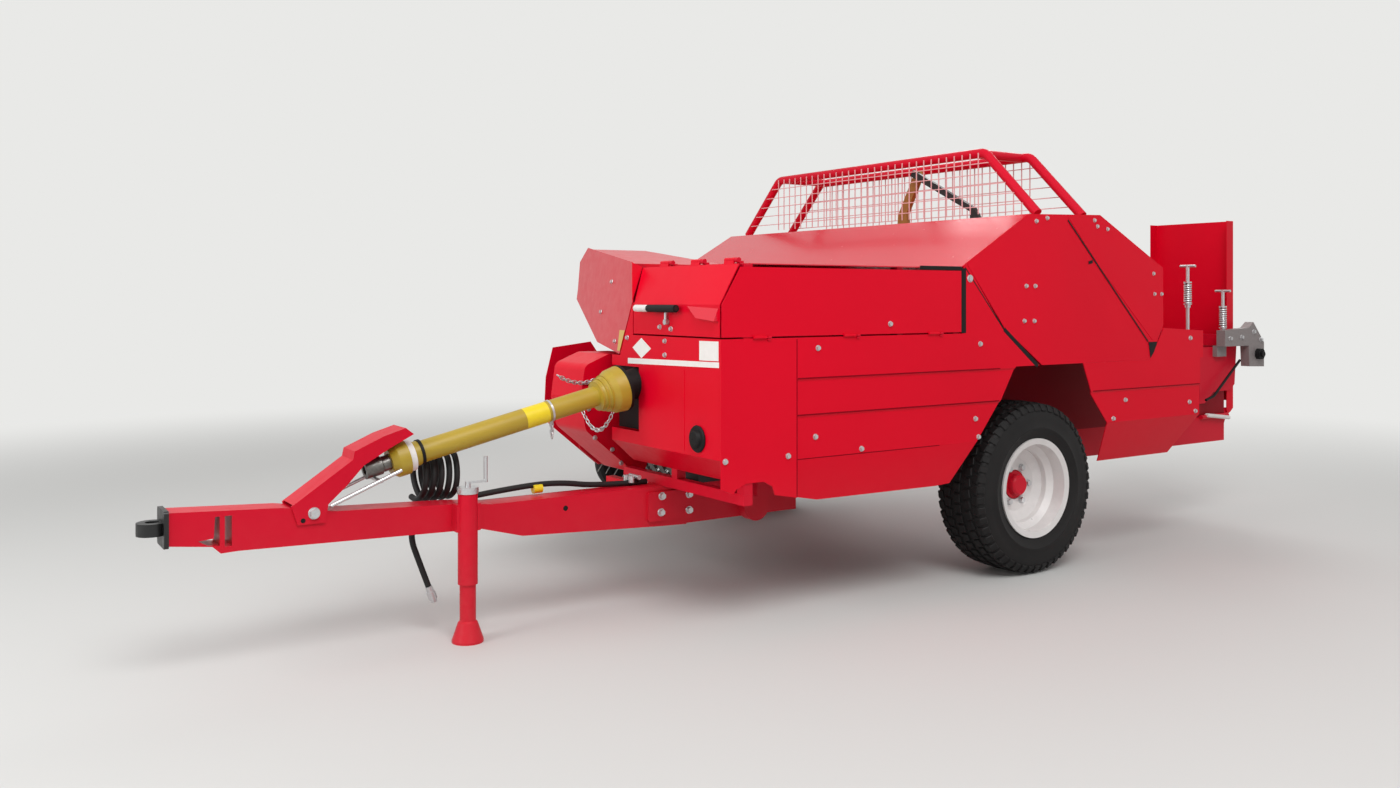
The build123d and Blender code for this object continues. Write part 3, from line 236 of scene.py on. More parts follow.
def powder_coat(name, colour, shade, rough, specular, coat):
    """Baked powder coat over sheet steel, with orange peel and a soft change of tone."""
    made, tree, shader = finish_name(name)
    spot = place(tree, "ShaderNodeTexCoord")
    tone = place(tree, "ShaderNodeTexNoise", {"Vector": spot.outputs["Object"]},
                 {"Scale": tone_scale, "Detail": 3.0, "Roughness": 0.5})
    paint = place(tree, "ShaderNodeMix", {"Factor": tone.outputs["Fac"]}, data_type="RGBA")
    paint.inputs["A"].default_value = hex_colour(colour)
    paint.inputs["B"].default_value = hex_colour(shade)
    height = place(tree, "ShaderNodeSeparateXYZ", {"Vector": spot.outputs["Object"]})
    low = place(tree, "ShaderNodeMapRange", {"Value": height.outputs["Z"]},
                {"From Min": 0.0, "From Max": dust_top, "To Min": dust_share, "To Max": 0.0})
    specks = place(tree, "ShaderNodeTexNoise", {"Vector": spot.outputs["Object"]},
                   {"Scale": speck_scale, "Detail": 6.0, "Roughness": 0.65})
    dust = place(tree, "ShaderNodeMath", {0: low.outputs["Result"], 1: specks.outputs["Fac"]},
                 operation="MULTIPLY")
    dusty = place(tree, "ShaderNodeMix", {"Factor": dust.outputs["Value"], "A": paint.outputs["Result"]},
                  data_type="RGBA")
    dusty.inputs["B"].default_value = dust_colour
    peel = place(tree, "ShaderNodeTexNoise", {"Vector": spot.outputs["Object"]},
                 {"Scale": peel_scale, "Detail": 2.0})
    relief = place(tree, "ShaderNodeBump", {"Height": peel.outputs["Fac"]},
                   {"Strength": 0.06, "Distance": 0.0004})
    sheen = place(tree, "ShaderNodeMapRange", {"Value": specks.outputs["Fac"]},
                  {"From Min": 0.3, "From Max": 0.8, "To Min": rough, "To Max": rough + 0.12})
    tree.links.new(dusty.outputs["Result"], shader.inputs["Base Color"])
    tree.links.new(sheen.outputs["Result"], shader.inputs["Roughness"])
    tree.links.new(relief.outputs["Normal"], shader.inputs["Normal"])
    shader.inputs["Specular IOR Level"].default_value = specular
    shader.inputs["Coat Weight"].default_value = coat
    shader.inputs["Coat Roughness"].default_value = 0.1
    return made


def dress(finish, *names):
    """Gives CAD nodes one finish."""
    for name in names:
        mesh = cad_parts[name].data
        mesh.materials.clear()
        mesh.materials.append(finish)


red_coat = powder_coat("red_powder_coat", "#de0325", "#cf0221", 0.3, 0.12, 0.0)
top_coat = powder_coat("red_gloss_powder_coat", "#d80a2c", "#cc0827", 0.18, 0.4, 0.25)
facet_coat = powder_coat("red_satin_powder_coat", "#d30526", "#c40420", 0.28, 0.22, 0.06)
# The chamber, body frame and plunger get a darker red: painted shade for the dim inside seen through the
# wheel arch.
inner_shade_coat = powder_coat("red_painted_shade_inner", "#8d0a1c", "#7d0818", 0.4, 0.1, 0.0)
frame_coat = powder_coat("red_frame_enamel", "#d30a2b", "#bf0725", 0.34, 0.15, 0.0)
dress(red_coat, "front_shield", "front_hood", "left_side_panel", "left_gable", "left_rear_panel",
      "right_panels", "twine_flap", "drive_guard", "bale_chute", "pickup_frame")
dress(top_coat, "roof")
dress(facet_coat, "feed_hood")
dress(inner_shade_coat, "bale_chamber", "body_frame", "plunger")
dress(frame_coat, "axle", "cage_frame", "drawbar", "feed_table", "front_frame", "hinge_pins", "jack_tube",
      "jack_leg", "joint_plates", "left_hub", "right_hub", "lower_frame", "main_beam", "shaft_rest",
      "tension_frames", "rear_plate")


# Metal pieces: zinc-plated small parts, wheels in silver enamel, reel and bands worn bare
# by straw, black and ochre enamelled parts, and the twine arm housing as it was cast.
def metal(name, colour, dark, rough, grain, metallic=1.0):
    """Plated or painted metal with a fine mottling in its gloss."""
    made, tree, shader = finish_name(name)
    spot = place(tree, "ShaderNodeTexCoord")
    mottle = place(tree, "ShaderNodeTexNoise", {"Vector": spot.outputs["Object"]},
                   {"Scale": 1 / grain, "Detail": 5.0, "Roughness": 0.6})
    tint = place(tree, "ShaderNodeMix", {"Factor": mottle.outputs["Fac"]}, data_type="RGBA")
    tint.inputs["A"].default_value = hex_colour(colour)
    tint.inputs["B"].default_value = hex_colour(dark)
    gloss = place(tree, "ShaderNodeMapRange", {"Value": mottle.outputs["Fac"]},
                  {"From Min": 0.3, "From Max": 0.7, "To Min": rough - 0.07, "To Max": rough + 0.1})
    relief = place(tree, "ShaderNodeBump", {"Height": mottle.outputs["Fac"]},
                   {"Strength": 0.12, "Distance": 0.0005})
    tree.links.new(tint.outputs["Result"], shader.inputs["Base Color"])
    tree.links.new(gloss.outputs["Result"], shader.inputs["Roughness"])
    tree.links.new(relief.outputs["Normal"], shader.inputs["Normal"])
    shader.inputs["Metallic"].default_value = metallic
    return made


zinc = metal("bright_zinc_plate", "#dcdcdd", "#b9babc", 0.34, 0.012, 0.8)
rim_paint = metal("silver_wheel_enamel", "#e6e2e1", "#d2cecd", 0.34, 0.05, 0.3)
worn_steel = metal("worn_bare_steel", "#8d8b88", "#5c5955", 0.42, 0.02)
black_enamel = metal("black_enamel", "#0d0d0e", "#191919", 0.4, 0.03, 0.0)
grey_casting = metal("grey_sand_casting", "#9a9191", "#77706f", 0.55, 0.006, 0.3)
ochre_enamel = metal("ochre_enamel", "#a9762a", "#8a5f20", 0.4, 0.03, 0.0)
mesh_coat = metal("pale_mesh_coat", "#e4b9b9", "#d49a9c", 0.45, 0.02, 0.0)
dress(zinc, "hose_coupler", "rest_stay", "tension_screws", "jack_crank")
dress(rim_paint, "left_rim", "right_rim")
dress(worn_steel, "pickup_reel", "pickup_bands", "feeder_forks", "drive_shaft")
dress(black_enamel, "hitch_eye", "gearbox", "feeder_rod", "hood_latch")
dress(grey_casting, "rear_housing")
dress(ochre_enamel, "feeder_lever")
dress(mesh_coat, "cage_mesh")


# Drive shaft guard: rotation-moulded polyethylene in a dull yellow, with soft streaks
# from the mould and a slightly waxy gloss.
streak_squeeze = (1.5, 14.0, 14.0)
streak_scale = 2.0  # with the squeeze, streaks about 330 mm long and 36 mm wide


def moulded_yellow(name, colour, shade):
    """Polyethylene with long soft streaks along the part."""
    made, tree, shader = finish_name(name)
    spot = place(tree, "ShaderNodeTexCoord")
    stretch = place(tree, "ShaderNodeMapping", {"Vector": spot.outputs["Object"]},
                    {"Scale": streak_squeeze})
    streak = place(tree, "ShaderNodeTexNoise", {"Vector": stretch.outputs["Vector"]},
                   {"Scale": streak_scale, "Detail": 4.0})
    tint = place(tree, "ShaderNodeMix", {"Factor": streak.outputs["Fac"]}, data_type="RGBA")
    tint.inputs["A"].default_value = hex_colour(colour)
    tint.inputs["B"].default_value = hex_colour(shade)
    relief = place(tree, "ShaderNodeBump", {"Height": streak.outputs["Fac"]},
                   {"Strength": 0.08, "Distance": 0.001})
    tree.links.new(tint.outputs["Result"], shader.inputs["Base Color"])
    tree.links.new(relief.outputs["Normal"], shader.inputs["Normal"])
    shader.inputs["Roughness"].default_value = 0.42
    shader.inputs["IOR"].default_value = 1.51
    return made


guard_plastic = moulded_yellow("yellow_guard_polyethylene", "#b69a2c", "#9b8220")
dress(guard_plastic, "shaft_guard")

# Tyres: implement tyres with five rows of blocks, moulded in dull black rubber. Each is
# spun from its section, and its blocks stand in staggered rows round the tread.
tyre_rubber = rubber("tyre_rubber", "#0e0c0d", "#1f1d1d", 0.004)
dress(tyre_rubber, "gauge_wheel", "left_tyre", "right_tyre")
wheel_y = 0.943
wheel_z = 0.380
tyre_steps = 96
tyre_blocks = 50
block_length = 0.036
block_depth = 0.016
block_sunk = 0.006
block_edge = 0.0028
shoulder_size = (0.030, 0.034, 0.012)
shoulder_y = 0.1165
shoulder_r = 0.354
shoulder_lean = 58
# The section's outer half, from bead to crown, as distance from the middle and radius.
tyre_section = [(-0.0840, 0.2016), (-0.1094, 0.2016), (-0.1122, 0.2200), (-0.1250, 0.2450),
                (-0.1300, 0.2620), (-0.1318, 0.2640), (-0.1318, 0.2690), (-0.1304, 0.2710),
                (-0.1300, 0.3050), (-0.1270, 0.3300), (-0.1190, 0.3540), (-0.1060, 0.3650),
                (-0.0600, 0.3695), (0.0, 0.3708)]
tyre_inside = [(0.113, 0.285), (0.094, 0.348), (-0.094, 0.348), (-0.113, 0.285)]
# Each row: its place across the tyre, block width, top radius, stagger and skew in degrees.
tread_rows = [(-0.098, 0.030, 0.3705, 0.0, 12), (-0.056, 0.034, 0.3745, 0.5, -14),
              (0.0, 0.036, 0.3765, 0.0, 0), (0.056, 0.034, 0.3745, 0.5, 14),
              (0.098, 0.030, 0.3705, 0.0, -12)]


def add_piece(name, bm, finish, body, smooth=30):
    """Turns a bmesh into a finished piece that rides on a body."""
    mesh = bpy.data.meshes.new(name)
    bm.to_mesh(mesh)
    bm.free()
    mesh.materials.append(finish)
    mesh.shade_smooth()
    mesh.set_sharp_from_angle(angle=radians(smooth))
    piece = bpy.data.objects.new(name, mesh)
    bpy.context.scene.collection.objects.link(piece)
    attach(piece, body)
    return piece


def spun(bm, section, steps, place_at):
    """A closed ring: the (t, r) section spun about the Y axis, then moved into place."""
    rim = [bm.verts.new((0, t, r)) for t, r in section]
    edges = [bm.edges.new((rim[i], rim[(i + 1) % len(rim)])) for i in range(len(rim))]
    bmesh.ops.spin(bm, geom=rim + edges, cent=(0, 0, 0), axis=(0, 1, 0), angle=2 * pi, steps=steps,
                   use_merge=True)
    bmesh.ops.remove_doubles(bm, verts=bm.verts, dist=1e-6)
    bmesh.ops.recalc_face_normals(bm, faces=bm.faces)
    bmesh.ops.transform(bm, matrix=place_at, verts=bm.verts)


def pour(source, target):
    """Adds all of one bmesh to another, and frees it."""
    held = bpy.data.meshes.new("held")
    source.to_mesh(held)
    source.free()
    target.from_mesh(held)
    bpy.data.meshes.remove(held)


for side, sign in (("left", 1), ("right", -1)):
    outline = tyre_section + [(-t, r) for t, r in reversed(tyre_section[:-1])] + tyre_inside
    bm = bmesh.new()
    spun(bm, outline, tyre_steps, Matrix.Identity(4))
    blocks = bmesh.new()
    for t, width, top, stagger, skew in tread_rows:
        for k in range(tyre_blocks):
            angle = 2 * pi * (k + stagger) / tyre_blocks
            shape = (Matrix.Rotation(angle, 4, "Y") @ Matrix.Translation((0, t, top - block_sunk))
                     @ Matrix.Rotation(radians(skew), 4, "Z")
                     @ Matrix.Diagonal((block_length, width, block_depth, 1)))
            bmesh.ops.create_cube(blocks, size=1, matrix=shape)
    for edge in (-1, 1):
        for k in range(tyre_blocks):
            angle = 2 * pi * k / tyre_blocks
            shape = (Matrix.Rotation(angle, 4, "Y")
                     @ Matrix.Translation((0, edge * shoulder_y, shoulder_r))
                     @ Matrix.Rotation(radians(-edge * shoulder_lean), 4, "X")
                     @ Matrix.Diagonal((*shoulder_size, 1)))
            bmesh.ops.create_cube(blocks, size=1, matrix=shape)
    bmesh.ops.bevel(blocks, geom=blocks.edges, offset=block_edge, segments=1, profile=0.5,
                    affect="EDGES", material=-1)
    bmesh.ops.recalc_face_normals(blocks, faces=blocks.faces)
    pour(blocks, bm)
    centre = Vector((axle_x, sign * wheel_y, wheel_z))
    bmesh.ops.transform(bm, matrix=Matrix.Translation(centre), verts=bm.verts)
    tyre = add_piece(f"{side}_tyre_tread", bm, tyre_rubber, f"{side}_wheel", 35)
    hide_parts(f"{side}_tyre")


# Screws and nuts: zinc-plated hexagon heads on washers, which hold the sheets to their
# frames and the rims to their hubs. They stand bright against the red.
washer_reach = 0.68
head_reach = 0.55
washer_thick = 0.002


def hex_head(bm, spot, outward, across=0.017, height=0.006):
    """One washer and one hexagon head on it, which point outward from the sheet."""
    turn = Vector(outward).to_track_quat("Z", "Y").to_matrix().to_4x4()
    for sides, radius, base, thick in ((20, across * washer_reach, 0.0, washer_thick),
                                       (6, across * head_reach, washer_thick, height)):
        shape = Matrix.Translation(spot) @ turn @ Matrix.Translation((0, 0, base + thick / 2))
        bmesh.ops.create_cone(bm, cap_ends=True, segments=sides, radius1=radius, radius2=radius * 0.94,
                              depth=thick, matrix=shape)


def heads(name, body, spots, outward, across=0.017, height=0.006):
    """A joined set of like heads on one body."""
    bm = bmesh.new()
    for spot in spots:
        hex_head(bm, spot, outward, across, height)
    return add_piece(name, bm, zinc, body)


# The left sheets' outer faces: the upper one, the rear panel's step and the lowest step.
sheet_y = 1.105
step_y = 1.100
low_step_y = 1.095
side_spots = [(1.057, sheet_y, 0.637), (0.773, sheet_y, 0.636), (0.630, sheet_y, 1.031),
              (0.635, low_step_y, 0.697), (0.404, low_step_y, 0.635), (-0.231, low_step_y, 0.714),
              (-0.249, sheet_y, 1.027), (-0.249, low_step_y, 0.637)]
heads("side_panel_screws", "chassis", side_spots, (0, 1, 0))
gable_spots = [(x, sheet_y, z) for x, z in (
    (-0.601, 1.554), (-0.673, 1.570), (-0.997, 1.572), (-1.018, 1.545), (-1.091, 1.535), (-1.438, 1.335),
    (-1.446, 1.238), (-1.501, 1.238), (-0.536, 1.271), (-0.594, 1.271), (-0.523, 1.120), (-0.588, 1.119))]
heads("gable_screws", "chassis", gable_spots, (0, 1, 0), 0.015)
heads("gable_pivot_cap", "chassis", [(-0.189, sheet_y, 1.300)], (0, 1, 0), 0.024, 0.004)
rear_spots = [(-1.231, step_y, 0.744), (-1.736, step_y, 0.709), (-1.142, step_y, 0.662),
              (-1.736, sheet_y, 1.023), (-1.786, step_y, 0.662)]
heads("rear_panel_screws", "chassis", rear_spots, (0, 1, 0))
right_edge_x = -1.5
right_spots = [(x, -y, z) for x, y, z in gable_spots + rear_spots[:3] if x > right_edge_x]
heads("right_side_screws", "chassis", right_spots, (0, -1, 0), 0.015)
heads("flap_screw", "flap", [(0.262, sheet_y, 1.117)], (0, 1, 0))
shield_x = 1.075
heads("hood_screws", "hood", [(shield_x, 0.698, 1.108), (shield_x, 0.777, 1.102)], (1, 0, 0), 0.015)
heads("shield_screws", "chassis",
      [(shield_x, 0.734, 1.055), (shield_x, 0.734, 1.002), (shield_x, 0.452, 1.060)], (1, 0, 0), 0.015)
drawbar_y = 0.500
joint_reach = 0.067
joint_spots = [(0.984, 0.432), (0.988, 0.368), (0.855, 0.428), (0.855, 0.364)]
for name, sign in (("joint_bolts", 1), ("joint_bolts_far", -1)):
    heads(name, "chassis", [(x, drawbar_y + sign * joint_reach, z) for x, z in joint_spots], (0, sign, 0),
          0.024, 0.011)
guard_y = 0.245
guard_spots = [(1.110, 0.640), (1.028, 0.585), (0.985, 0.525), (0.900, 0.480), (1.140, 0.760)]
heads("guard_screws", "chassis", [(x, guard_y, z) for x, z in guard_spots], (0, 1, 0), 0.015)
nut_count = 6
nut_circle = 0.084
nut_y = 0.939
for side, sign in (("left", 1), ("right", -1)):
    nut_ring = [(axle_x + nut_circle * cos(a), sign * nut_y, wheel_z + nut_circle * sin(a))
                for a in (2 * pi * k / nut_count for k in range(nut_count))]
    heads(f"{side}_wheel_nuts", f"{side}_wheel", nut_ring, (0, sign, 0), 0.026, 0.014)


# Front markings: a white stripe along the shield, a square and a diamond white plate, all
# cut from thin plain vinyl and stuck on the paint.
cloud_scale = 40.0  # mottling in clouds about 25 mm wide


def vinyl(name, colour, shade):
    """Satin vinyl film: nearly even, with a very soft mottling in its gloss."""
    made, tree, shader = finish_name(name)
    spot = place(tree, "ShaderNodeTexCoord")
    cloud = place(tree, "ShaderNodeTexNoise", {"Vector": spot.outputs["Object"]},
                  {"Scale": cloud_scale, "Detail": 3.0})
    tint = place(tree, "ShaderNodeMix", {"Factor": cloud.outputs["Fac"]}, data_type="RGBA")
    tint.inputs["A"].default_value = hex_colour(colour)
    tint.inputs["B"].default_value = hex_colour(shade)
    tree.links.new(tint.outputs["Result"], shader.inputs["Base Color"])
    shader.inputs["Roughness"].default_value = 0.35
    return made


def film(name, corners, out, finish, body, thick=0.0006):
    """A flat film with its back on the sheet: corners in order, and its thickness along out."""
    bm = bmesh.new()
    face = bm.faces.new([bm.verts.new(c) for c in corners])
    raised = bmesh.ops.extrude_face_region(bm, geom=[face])["geom"]
    top = [v for v in raised if isinstance(v, bmesh.types.BMVert)]
    bmesh.ops.translate(bm, vec=Vector(out) * thick, verts=top)
    bmesh.ops.recalc_face_normals(bm, faces=bm.faces)
    return add_piece(name, bm, finish, body)


white_vinyl = vinyl("white_vinyl_film", "#f2efec", "#e4e0dc")
front_x = 1.0753
# Each film's name, and its corners on the front sheet as (y, z).
front_films = {
    "front_stripe": [(0.456, 0.957), (1.093, 0.970), (1.093, 0.990), (0.456, 0.979)],
    "blank_square_plate": [(0.968, 0.992), (1.090, 0.994), (1.090, 1.064), (0.968, 1.063)],
    "blank_diamond_plate": [(0.560, 0.982), (0.632, 1.022), (0.560, 1.062), (0.492, 1.022)]}
for name, corners in front_films.items():
    film(name, [(front_x, y, z) for y, z in corners], (1, 0, 0), white_vinyl, "chassis")

# Round cap on the shield: a plug moulded in black polyamide with a stepped rim, pressed
# in a hole in the sheet. It is dull, with a faint grain.
black_plastic = rubber("moulded_black_polyamide", "#0a0a0b", "#131314", 0.004)
cap_spot = (1.0755, 0.959, 0.705)
cap_section = [(0.0, 0.002), (0.0, 0.049), (0.004, 0.050), (0.009, 0.046), (0.010, 0.034), (0.018, 0.031),
               (0.022, 0.026), (0.023, 0.002)]
bm = bmesh.new()
spun(bm, cap_section, 40, Matrix.Translation(cap_spot) @ Matrix.Rotation(-pi / 2, 4, "Z"))
add_piece("shield_cap", bm, black_plastic, "chassis")

# Fold and laps: the shield's pressed fold, the sheet that laps over each gable's rear
# half, and a black wedge of painted shadow below the lap's lower corner.
# Black for the shaft's rubber gaiter, and painted shade in the gaps, slots, holes and opening that it fills.
black_rubber_and_shade = rubber("black_rubber_and_painted_shade", "#080606", "#100d0d", 0.01)


def strip(name, points, width, out, finish=black_rubber_and_shade, thick=0.0005):
    """One flat strip for each stretch of a run of points, all in one piece."""
    bm = bmesh.new()
    for start, end in zip(points, points[1:]):
        a, b = Vector(start), Vector(end)
        across = (b - a).cross(Vector(out)).normalized() * width / 2
        raised = Vector(out) * thick
        corners = [a - across, b - across, b + across, a + across]
        low = [bm.verts.new(c) for c in corners]
        top = [bm.verts.new(c + raised) for c in corners]
        bm.faces.new(low)
        bm.faces.new(top)
        for k in range(4):
            bm.faces.new((low[k], low[(k + 1) % 4], top[(k + 1) % 4], top[k]))
    bmesh.ops.recalc_face_normals(bm, faces=bm.faces)
    return add_piece(name, bm, finish, "chassis")


strip("shield_fold", [(shield_x, 0.866, 0.652), (shield_x, 0.866, 0.952)], 0.006, (1, 0, 0), red_coat,
      0.0015)
lap_gap = 0.0001
lap = [(-0.815, 1.578), (-1.040, 1.592), (-1.514, 1.358), (-1.514, 1.094), (-1.430, 1.019), (-1.040, 1.356)]
for name, sign in (("gable_lap", 1), ("gable_lap_right", -1)):
    film(name, [(x, sign * (sheet_y + lap_gap), z) for x, z in lap], (0, sign, 0), red_coat, "chassis",
         0.0018)
wedge = [(-1.399, 1.010), (-1.469, 1.010), (-1.440, 0.960), (-1.414, 0.934)]
film("gable_wedge_shadow", [(x, sheet_y + 0.002, z) for x, z in wedge], (0, 1, 0), black_rubber_and_shade, "chassis",
     0.0004)

# Tension springs: round spring steel wound on the four threaded rods behind the body, each
# between two cups and under a cross bar that turns the rod. All are zinc plated.
spring_wire = 0.0045
spring_radius = 0.0165
spring_height = 0.106
spring_coils = 9
coil_steps = 20
rod_radius = 0.0085
rod_foot = 1.010
cup_radius = 0.021
bar_radius = 0.007
bar_length = 0.09
# Each rod: its x and y, where the spring starts, and the rod's top.
tension_rods = [(-2.255, 0.755, 1.189, 1.397), (-2.255, 0.245, 1.189, 1.397),
                (-2.585, 0.755, 1.056, 1.264), (-2.585, 0.245, 1.056, 1.264)]
for k, (x, y, low, top) in enumerate(tension_rods):
    bm = bmesh.new()
    for radius, z0, z1 in ((rod_radius, rod_foot, top), (cup_radius, low - 0.006, low),
                           (cup_radius, low + 0.110, low + 0.118), (0.014, low - 0.022, low - 0.006)):
        bmesh.ops.create_cone(bm, cap_ends=True, segments=24, radius1=radius, radius2=radius, depth=z1 - z0,
                              matrix=Matrix.Translation((x, y, (z0 + z1) / 2)))
    bar = Matrix.Translation((x, y, top - 0.006)) @ Matrix.Rotation(pi / 2, 4, "X")
    bmesh.ops.create_cone(bm, cap_ends=True, segments=16, radius1=bar_radius, radius2=bar_radius,
                          depth=bar_length, matrix=bar)
    coil = bmesh.new()
    start = Matrix.Translation((spring_radius, 0, 0)) @ Matrix.Rotation(pi / 2, 4, "X")
    bmesh.ops.create_circle(coil, segments=8, radius=spring_wire, matrix=start)
    steps = spring_coils * coil_steps
    bmesh.ops.spin(coil, geom=coil.verts[:] + coil.edges[:], cent=(0, 0, 0), axis=(0, 0, 1),
                   angle=2 * pi * spring_coils, dvec=(0, 0, spring_height / steps), steps=steps)
    bmesh.ops.recalc_face_normals(coil, faces=coil.faces)
    bmesh.ops.transform(coil, matrix=Matrix.Translation((x, y, low + 0.002)), verts=coil.verts)
    pour(coil, bm)
    piece = add_piece(f"tension_spring_{k}", bm, zinc, "chassis")
    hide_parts("tension_screws")


# Guard chains: thin zinc-plated chains that keep the guard tube from turning, hung from
# the guard's cone to the housing beside it. Each link is a bent round wire.
link_wire = 0.0022
link_radius = 0.0075
link_stretch = 1.7


def chain(name, start, end, sag, count):
    """Links along a hanging curve, each turned a quarter from the last."""
    bm = bmesh.new()
    a, b = Vector(start), Vector(end)
    for i in range(count):
        t = (i + 0.5) / count
        spot = a.lerp(b, t) - Vector((0, 0, sag * 4 * t * (1 - t)))
        way = (b - a) - Vector((0, 0, sag * 4 * (1 - 2 * t)))
        turn = way.to_track_quat("X", "Z").to_matrix().to_4x4()
        shape = (Matrix.Translation(spot) @ turn @ Matrix.Rotation(pi / 2 * (i % 2), 4, "X")
                 @ Matrix.Diagonal((link_stretch, 1, 1, 1)))
        link = bmesh.new()
        side = Matrix.Translation((link_radius, 0, 0)) @ Matrix.Rotation(pi / 2, 4, "X")
        bmesh.ops.create_circle(link, segments=6, radius=link_wire, matrix=side)
        bmesh.ops.spin(link, geom=link.verts[:] + link.edges[:], cent=(0, 0, 0), axis=(0, 0, 1), angle=2 * pi,
                       steps=10, use_merge=True)
        bmesh.ops.remove_doubles(link, verts=link.verts, dist=1e-6)
        bmesh.ops.recalc_face_normals(link, faces=link.faces)
        bmesh.ops.transform(link, matrix=shape, verts=link.verts)
        pour(link, bm)
    return add_piece(name, bm, zinc, "chassis", 60)


chain("guard_chain", (1.120, 0.425, 0.775), (1.170, 0.2455, 0.760), 0.085, 14)
chain("guard_chain_upper", (1.285, 0.252, 0.905), (1.116, 0.252, 0.880), 0.020, 12)
chain("clamp_chain_tail", (1.438, 0.500, 0.760), (1.436, 0.500, 0.690), 0.0, 5)


# Painted shade in seams: black strips for the shade along the lapped gable, its foot, its
# slot and the gaps round the flap, and darker red lines for the shade where sheets meet, step or bend.
lap_y = sheet_y + 0.0021
strip("gable_lap_shade_line", [(-0.812, lap_y, 1.566), (-1.396, lap_y, 1.012)], 0.007, (0, 1, 0))
strip("gable_front_shade_line", [(-0.160, sheet_y, 1.345), (-0.396, sheet_y, 1.083)], 0.005, (0, 1, 0))
strip("gable_foot_shade_line", [(-0.396, sheet_y, 1.086), (-0.612, sheet_y, 0.922)], 0.018, (0, 1, 0))
slot_corners = [(-0.955, 1.385), (-0.985, 1.392), (-0.985, 1.378), (-0.955, 1.371)]
film("gable_slot_shade", [(x, lap_y, z) for x, z in slot_corners], (0, 1, 0), black_rubber_and_shade, "chassis",
     0.0004)
strip("flap_end_gap_shade", [(-0.151, sheet_y, 1.342), (-0.151, sheet_y, 1.074)], 0.027, (0, 1, 0))
strip("flap_top_gap_shade", [(-0.138, sheet_y, 1.341), (0.100, sheet_y, 1.341)], 0.016, (0, 1, 0))
# Darker red lines: painted shade along the wrap's seam, the pressed steps and the bend.
red_shadow = powder_coat("red_painted_shade_line", "#8d0217", "#7d0214", 0.4, 0.05, 0.0)
strip("wrap_seam_shade", [(0.731, sheet_y, 1.066), (0.731, sheet_y, 0.482)], 0.004, (0, 1, 0), red_shadow)
panel_x = 0.726
for level, depth in ((0.9195, sheet_y), (0.7825, step_y)):
    strip(f"side_step_shade_{round(level * 1000)}", [(panel_x, depth, level), (-0.372, depth, level)], 0.005,
          (0, 1, 0), red_shadow)
bend_y = low_step_y + 0.0002
strip("side_bend_shade", [(panel_x, bend_y, 0.618), (-0.020, bend_y, 0.618)], 0.003, (0, 1, 0), red_shadow)
strip("rear_step_shade", [(-0.990, sheet_y, 0.7955), (-1.815, sheet_y, 0.7955)], 0.005, (0, 1, 0), red_shadow)

# Hood front: a wedge-shaped grip pressed out of the sheet under the crease, the rubber
# sleeve of its pull handle with a pale end that is a painted highlight, and the small keeper below the
# handle.
grip_x = 1.0752
grip = [(0.888, 1.189), (1.088, 1.181), (1.088, 1.136), (0.972, 1.146)]
grip_depths = (0.001, 0.001, 0.020, 0.020)
bm = bmesh.new()
back = [bm.verts.new((grip_x, y, z)) for y, z in grip]
lip = [bm.verts.new((grip_x + out, y, z)) for (y, z), out in zip(grip, grip_depths)]
bm.faces.new(back)
bm.faces.new(lip)
for k in range(4):
    bm.faces.new((back[k], back[(k + 1) % 4], lip[(k + 1) % 4], lip[k]))
bmesh.ops.recalc_face_normals(bm, faces=bm.faces)
add_piece("hood_grip", bm, top_coat, "hood")


def rods(name, runs, finish, body, segments=20):
    """Round rods in one piece, each given as start, end and radius."""
    bm = bmesh.new()
    for start, end, radius in runs:
        a, b = Vector(start), Vector(end)
        turn = (b - a).to_track_quat("Z", "Y").to_matrix().to_4x4()
        bmesh.ops.create_cone(bm, cap_ends=True, segments=segments, radius1=radius, radius2=radius,
                              depth=(b - a).length, matrix=Matrix.Translation((a + b) / 2) @ turn)
    return add_piece(name, bm, finish, body)


handle_x = 1.101
handle_z = 1.179
keeper_y = 0.755
keeper_z = 1.128
# White polyamide for the guard ring and the needle pin's end; on the handle's end the white is a painted
# highlight.
white_plastic_and_highlight = rubber("white_polyamide_and_painted_highlight", "#e6e2e0", "#d4cfcc", 0.004)
rods("handle_sleeve", [((handle_x, 0.655, handle_z), (handle_x, 0.850, handle_z), 0.0145),
                       ((1.076, 0.800, handle_z), (handle_x, 0.800, handle_z), 0.012)], black_plastic,
     "hood")
rods("handle_end_highlight", [((handle_x, 0.560, handle_z), (handle_x, 0.652, handle_z), 0.0135)], white_plastic_and_highlight,
     "hood")
rods("handle_keeper", [((1.0755, keeper_y, keeper_z), (1.092, keeper_y, keeper_z), 0.011),
                       ((1.086, keeper_y, keeper_z), (1.086, keeper_y, 1.165), 0.006)], zinc, "hood")

# Feed hood's edge: a narrow three-cornered cheek of red sheet between it and the front
# hood, a yellow vinyl strip along its fold, and the screws of its swept face.
film("hood_cheek", [(1.0755, 0.4885, 1.204), (1.036, 0.4205, 1.362), (0.988, 0.4235, 1.346)], (0, 1, 0),
     red_coat, "chassis", 0.002)
yellow_vinyl = vinyl("yellow_vinyl_film", "#d9b23c", "#c9a036")
facet_sweep = 0.2754
facet_lean = 0.1358
facet_y = 0.384
facet_z = 0.992
facet_out = Vector((1.0, -facet_sweep, facet_lean)).normalized()


def on_facet(y, z):
    """A point just in front of the feed hood's swept face."""
    return (front_x - facet_sweep * (facet_y - y) - facet_lean * (z - facet_z), y, z)


